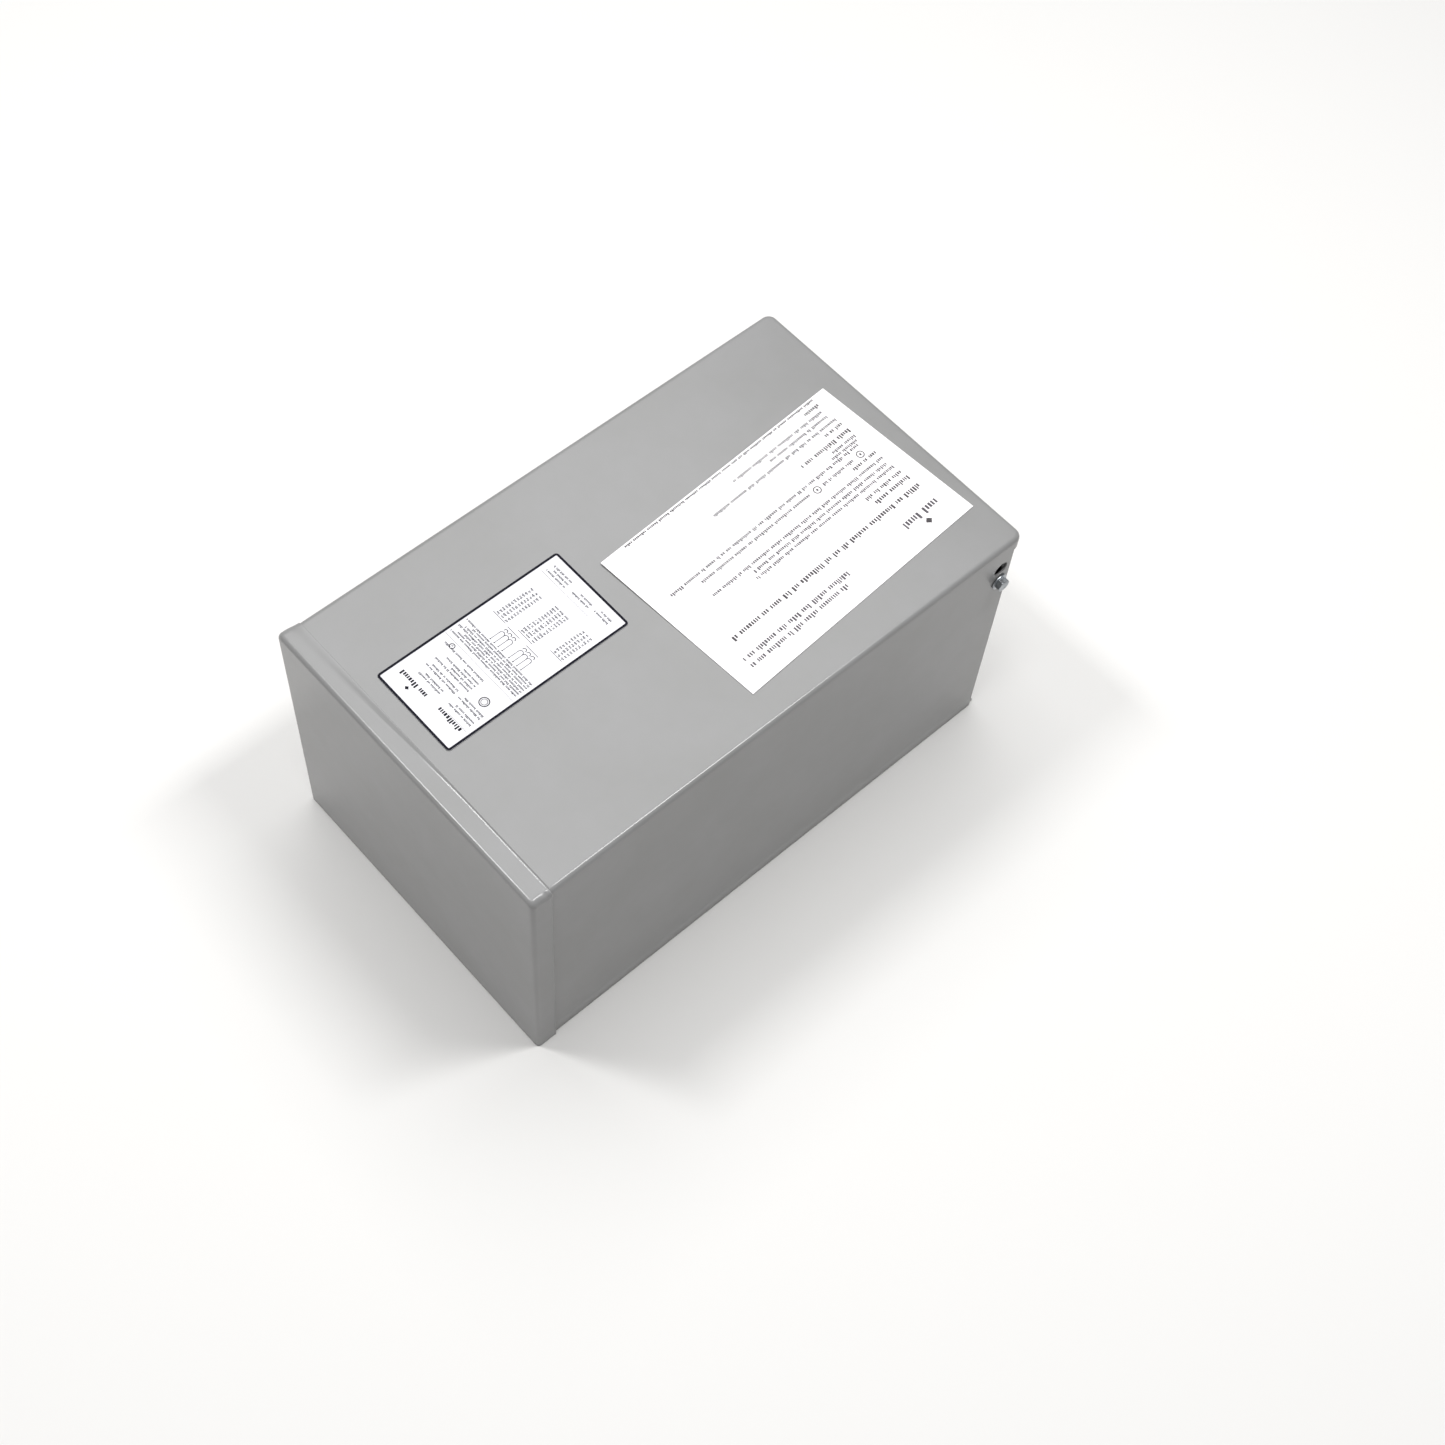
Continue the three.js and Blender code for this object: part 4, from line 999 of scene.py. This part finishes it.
def makeWindings():
    # Half-lapped tape round a coil: a rounded rectangle moved outwards by a barrel-shaped crown and, along
    # the coil, by a sawtooth that advances one pitch each turn; the shoulders round over to the inner wall
    coil = windingSettings
    for phase in "abc":
        low, high = boxInMm(f"primary_winding_{phase}")
        centre, half = (low + high) / 2, (high - low) / 2
        place, outward, turnShare = roundedLoop(half[0], half[2], coil["corner"], coil["around"])
        along = np.linspace(-half[1] + coil["shoulder"], half[1] - coil["shoulder"], coil["along"])
        barrel = (1 - (along / half[1]) ** 2)[None, :] * coil["crown"]
        flatShare = 1 - np.abs(outward[:, :1] * outward[:, 1:]) * 2
        laps = ((along[None, :] / coil["tapePitch"] + turnShare[:, None]) % 1) * coil["lap"]
        crownShare = coil["cornerCrown"] + (1 - coil["cornerCrown"]) * flatShare
        offset = -coil["crown"] - coil["lap"] + barrel * crownShare + laps
        bend = np.linspace(0, math.pi / 2, coil["shoulderTurns"])[1:]
        shoulder = coil["shoulder"]
        endOffset = offset[:, -1:] - shoulder * (1 - np.cos(bend))[None, :]
        startOffset = offset[:, :1] - shoulder * (1 - np.cos(bend[::-1]))[None, :]
        inner = np.full((coil["around"], 2), -coil["wall"])
        offsets = np.concatenate([startOffset, offset, endOffset, inner], axis=1)
        rise = shoulder * np.sin(bend)
        y = np.concatenate([-half[1] + shoulder - rise[::-1], along, half[1] - shoulder + rise,
                            [half[1], -half[1]]])[None, :] + 0 * offsets
        across = place[:, None, :] + outward[:, None, :] * offsets[..., None]
        points = np.stack([across[..., 0] + centre[0], y + centre[1], across[..., 1] + centre[2]], axis=-1)
        faces = gridFaces(*points.shape[:2], closeRows=True, closeColumns=True)
        replaceNode(f"primary_winding_{phase}", f"primaryWinding_{phase}", points, faces, "tape", sharp=50)
    print("windings made")


makeWindings()

leadSettings = {
    "radius": 1.9, "ferruleRadius": 1.45, "ferruleLong": 7.0, "polePitch": 24.0, "blockBase": 2.3,
    "limbBottom": -5.0, "barrierY": -84.0, "terminalY": -140.0, "sides": 16, "samples": 10,
    "coverToTip": 1.5, "pressed": 0.22, "presses": 2,
    "pad": {"half": (9.0, 10.0), "rise": 4.3, "humpWidth": 2.9, "below": 2.3, "thick": 0.5, "edge": 8,
            "rows": 33, "columns": 19, "fromStart": 5},
    "primary": {"startX": (-86, -8, 70), "startY": 30.0, "layer": 149.5, "windowX": -59.0, "windowStep": 9.0,
                "firstPole": -3},
    "secondary": {"startX": (-70, -1, 11, 86), "startY": -4.4, "layer": 144.0, "windowX": 32.0,
                  "windowStep": 8.5, "firstPole": 0},
}


def leadRoute(group, index):
    # from its coil, through a divider window, down to its terminal
    lead = leadSettings
    startX, startY, layer = group["startX"][index], group["startY"], group["layer"]
    windowX = group["windowX"] + group["windowStep"] * index
    x = (group["firstPole"] + index) * lead["polePitch"]
    divider, block = lead["barrierY"], lead["blockBase"]
    return np.array([
        (startX, startY, layer),
        (startX, startY - 10, layer),
        (startX * 0.75 + windowX * 0.25, lead["limbBottom"] - 22, layer),
        (windowX, divider + 14, layer),
        (windowX, divider - 8, layer),
        (windowX * 0.7 + x * 0.3, divider - 24, layer - 12),
        (windowX * 0.3 + x * 0.7, divider - 31, 96),
        (x, divider - 30, 50),
        (x, divider - 36, block + 27),
        (x, lead["terminalY"] + 15, block + 22),
        (x, lead["terminalY"] + 7.5, block + 21.5),
    ], float)


def smoothPath(stations, samples):
    # Centripetal Catmull-Rom: between two stations a cubic whose end slopes come from their neighbours,
    # weighted by the square root of the distances
    ends = np.concatenate([2 * stations[:1] - stations[1:2], stations, 2 * stations[-1:] - stations[-2:-1]])
    gap = np.sqrt(np.linalg.norm(np.diff(ends, axis=0), axis=1))[:, None]
    p0, p1, p2, p3 = ends[:-3], ends[1:-2], ends[2:-1], ends[3:]
    d0, d1, d2 = gap[:-2], gap[1:-1], gap[2:]
    slope1 = ((p1 - p0) / d0 - (p2 - p0) / (d0 + d1) + (p2 - p1) / d1) * d1
    slope2 = ((p2 - p1) / d1 - (p3 - p1) / (d1 + d2) + (p3 - p2) / d2) * d1
    w = np.linspace(0, 1, samples, endpoint=False)[None, :, None]
    curve = (p1[:, None] + slope1[:, None] * w + (3 * (p2 - p1) - 2 * slope1 - slope2)[:, None] * w ** 2
             + (2 * (p1 - p2) + slope1 + slope2)[:, None] * w ** 3)
    return np.concatenate([curve.reshape(-1, 3), stations[-1:]])


def tubeAlong(path, radii, sides):
    # A circle of each station's radius in the plane across the path. Both ends close on the path.
    along = np.gradient(path, axis=0)
    along = along / np.linalg.norm(along, axis=1, keepdims=True)
    side = np.cross(along, [1.0, 0.0, 0.0])
    side = side / np.linalg.norm(side, axis=1, keepdims=True)
    other = np.cross(along, side)
    angle = np.linspace(0, math.tau, sides, endpoint=False)[None, :, None]
    circle = np.cos(angle) * side[:, None] + np.sin(angle) * other[:, None]
    points = path[:, None] + circle * np.asarray(radii, float)[:, None, None]
    return points, gridFaces(len(path), sides, closeColumns=True)


def anchorPad(x, y, z, pad):
    # A patch of tape over the start of a lead: a saddle that stands over the wire along its middle and lies
    # down on the coil at its edges, closed underneath
    across = np.linspace(-1, 1, pad["rows"])[:, None]
    along = np.linspace(-1, 1, pad["columns"])[None, :]
    hump = pad["rise"] * np.exp(-(across * pad["half"][0] / pad["humpWidth"]) ** 4)
    edge = smoothStep((1 - np.abs(across)) * pad["edge"]) * smoothStep((1 - np.abs(along)) * pad["edge"])
    under = z - pad["below"] - pad["thick"]
    top = z - pad["below"] + hump * (0.94 + 0.06 * np.cos(along * 3)) + 0.05 * np.sin(across * 9 + along * 4)
    height = np.concatenate([top * edge + under * (1 - edge), 0 * edge + under], axis=1)
    across, along = across + 0 * along, along + 0 * across
    x = x + np.concatenate([across, across[:, ::-1]], axis=1) * pad["half"][0]
    y = y + np.concatenate([along, along[:, ::-1]], axis=1) * pad["half"][1]
    points = np.stack([x, y, height], axis=-1)
    return points, gridFaces(*points.shape[:2], closeColumns=True)


def makeLeads():
    # Insulated wire from coil to terminal, cut back at its end for a crimped ferrule
    lead = leadSettings
    ferrules = []
    for kind, colour in (("primary", "blackWireInsulation"), ("secondary", "whiteWireInsulation")):
        for index in range(len(lead[kind]["startX"])):
            path = smoothPath(leadRoute(lead[kind], index), lead["samples"])
            left = np.linalg.norm(path - path[-1], axis=1)
            cover = path[left > lead["ferruleLong"] - lead["coverToTip"]]
            ends = np.concatenate([cover[:1], cover, cover[-1:]])
            ends[0] += (cover[0] - cover[1]) * 0.02
            ends[-1] += (cover[-1] - cover[-2]) * 0.02
            radii = np.full(len(ends), lead["radius"])
            radii[[0, -1]] = 0
            node = f"{kind}_lead_{index + 1}"
            replaceNode(node, f"{kind}Lead_{index + 1}", *tubeAlong(ends, radii, lead["sides"]), colour)
            share = np.linspace(0, 1, 9)[:, None]
            tip = cover[-1] + (path[-1] - cover[-1]) * np.concatenate([[[0]], share, [[1]]])
            tip = tip + (path[-1] - cover[-1]) * np.array([-0.02] + [0] * 9 + [0.001])[:, None]
            dents = np.cos(share[:, 0] * math.tau * lead["presses"]) ** 2
            pressed = lead["ferruleRadius"] - lead["pressed"] * dents
            ferrules.append(tubeAlong(tip, np.concatenate([[0], pressed, [0]]), lead["sides"]))
    pads = []
    for index in range(3):
        startX, _, layer = leadRoute(lead["primary"], index)[0]
        padY = lead["primary"]["startY"] - lead["pad"]["fromStart"]
        pads.append(anchorPad(startX, padY, layer, lead["pad"]))
    makePiece("leadAnchorTape", *gather(pads), "tape", bodyOf["primary_winding_a"], "winding_tape", sharp=60)
    makePiece("leadFerrules", *gather(ferrules), "zincPlatedSteel", bodyOf["terminal_block"], "zinc_steel")
    print("leads made")


makeLeads()

slotMaterials = {
    "grey_paint": "powderCoat", "zinc_steel": "zincPlatedSteel", "clamp_steel": "varnishedMillSteel",
    "core_steel": "laminations", "former_board": "pressedBoard", "enamelled_copper": "copper",
    "winding_tape": "tape", "rubber": "mouldedRubber", "terminal_plastic": "mouldedPhenolic",
    "brass": "turnedBrass", "black_lead": "blackWireInsulation", "white_lead": "whiteWireInsulation",
    "nameplate_film": "printedPolyesterFilm", "leaflet_paper": "uncoatedPaper",
}
for node, slotName in slotOf.items():
    cadNode = frame["nodes"][node]
    cadNode.data.materials.clear()
    cadNode.data.materials.append(materials[slotMaterials[slotName]])
print("CAD nodes finished")

stageSettings = {
    "floor": "#e4e3e1", "floorRoughness": 0.85, "floorSize": 8.0, "world": "#f2f3f5", "worldStrength": 0.27,
    "lights": {
        "longSideStrip": {"place": (-0.61, -0.66, 2.35), "size": (0.28, 0.80), "power": 27.0},
        "endStrip": {"place": (0.86, 0.81, 2.35), "size": (0.55, 0.26), "power": 24.0},
        "corner": {"place": (-0.20, 0.42, 2.35), "size": (0.35, 0.35), "power": 8.0},
        "overhead": {"place": (0.90, -0.60, 2.40), "size": (1.8, 1.8), "power": 30.0},
    },
}


def makeStage():
    # plain pale floor, flat lights that hang level over the case, and an even pale world
    stage = stageSettings
    half = stage["floorSize"] / 2
    mesh = bpy.data.meshes.new("floor")
    corners = [(-half, -half, 0), (half, -half, 0), (half, half, 0), (-half, half, 0)]
    mesh.from_pydata(corners, [], [(0, 1, 2, 3)])
    floor = bpy.data.objects.new("floor", mesh)
    bpy.context.scene.collection.objects.link(floor)
    look = {"colour": stage["floor"], "roughness": stage["floorRoughness"]}
    mesh.materials.append(startMaterial("paleFloorMatt", look)[0])
    world = bpy.data.worlds.new("studio")
    world.use_nodes = True
    background = world.node_tree.nodes["Background"]
    background.inputs["Color"].default_value = linearColour(stage["world"])
    background.inputs["Strength"].default_value = stage["worldStrength"]
    bpy.context.scene.world = world
    for name, light in stage["lights"].items():
        data = bpy.data.lights.new(name, "AREA")
        data.shape = "RECTANGLE"
        data.size, data.size_y = light["size"]
        data.energy = light["power"]
        lamp = bpy.data.objects.new(name, data)
        lamp.location = light["place"]
        bpy.context.scene.collection.objects.link(lamp)
    bpy.context.scene.view_settings.view_transform = "Standard"


cameraSettings = {"place": (-0.58906, 0.56522, 1.40605), "tilt": 30.96, "heading": -137.35, "roll": 6.17,
                  "lens": 54.61, "sensor": 36.0}


def makeCamera():
    # the viewing angle: high over the top end's left corner, looking down the case
    view = cameraSettings
    data = bpy.data.cameras.new("camera")
    data.lens, data.sensor_width = view["lens"], view["sensor"]
    data.clip_start = 0.05
    camera = bpy.data.objects.new("camera", data)
    camera.location = view["place"]
    level = Euler((math.radians(view["tilt"]), 0, math.radians(view["heading"]))).to_matrix()
    camera.rotation_euler = (level @ Euler((0, 0, math.radians(view["roll"]))).to_matrix()).to_euler()
    bpy.context.scene.collection.objects.link(camera)
    bpy.context.scene.camera = camera


makeStage()
makeCamera()
print("stage and camera made")
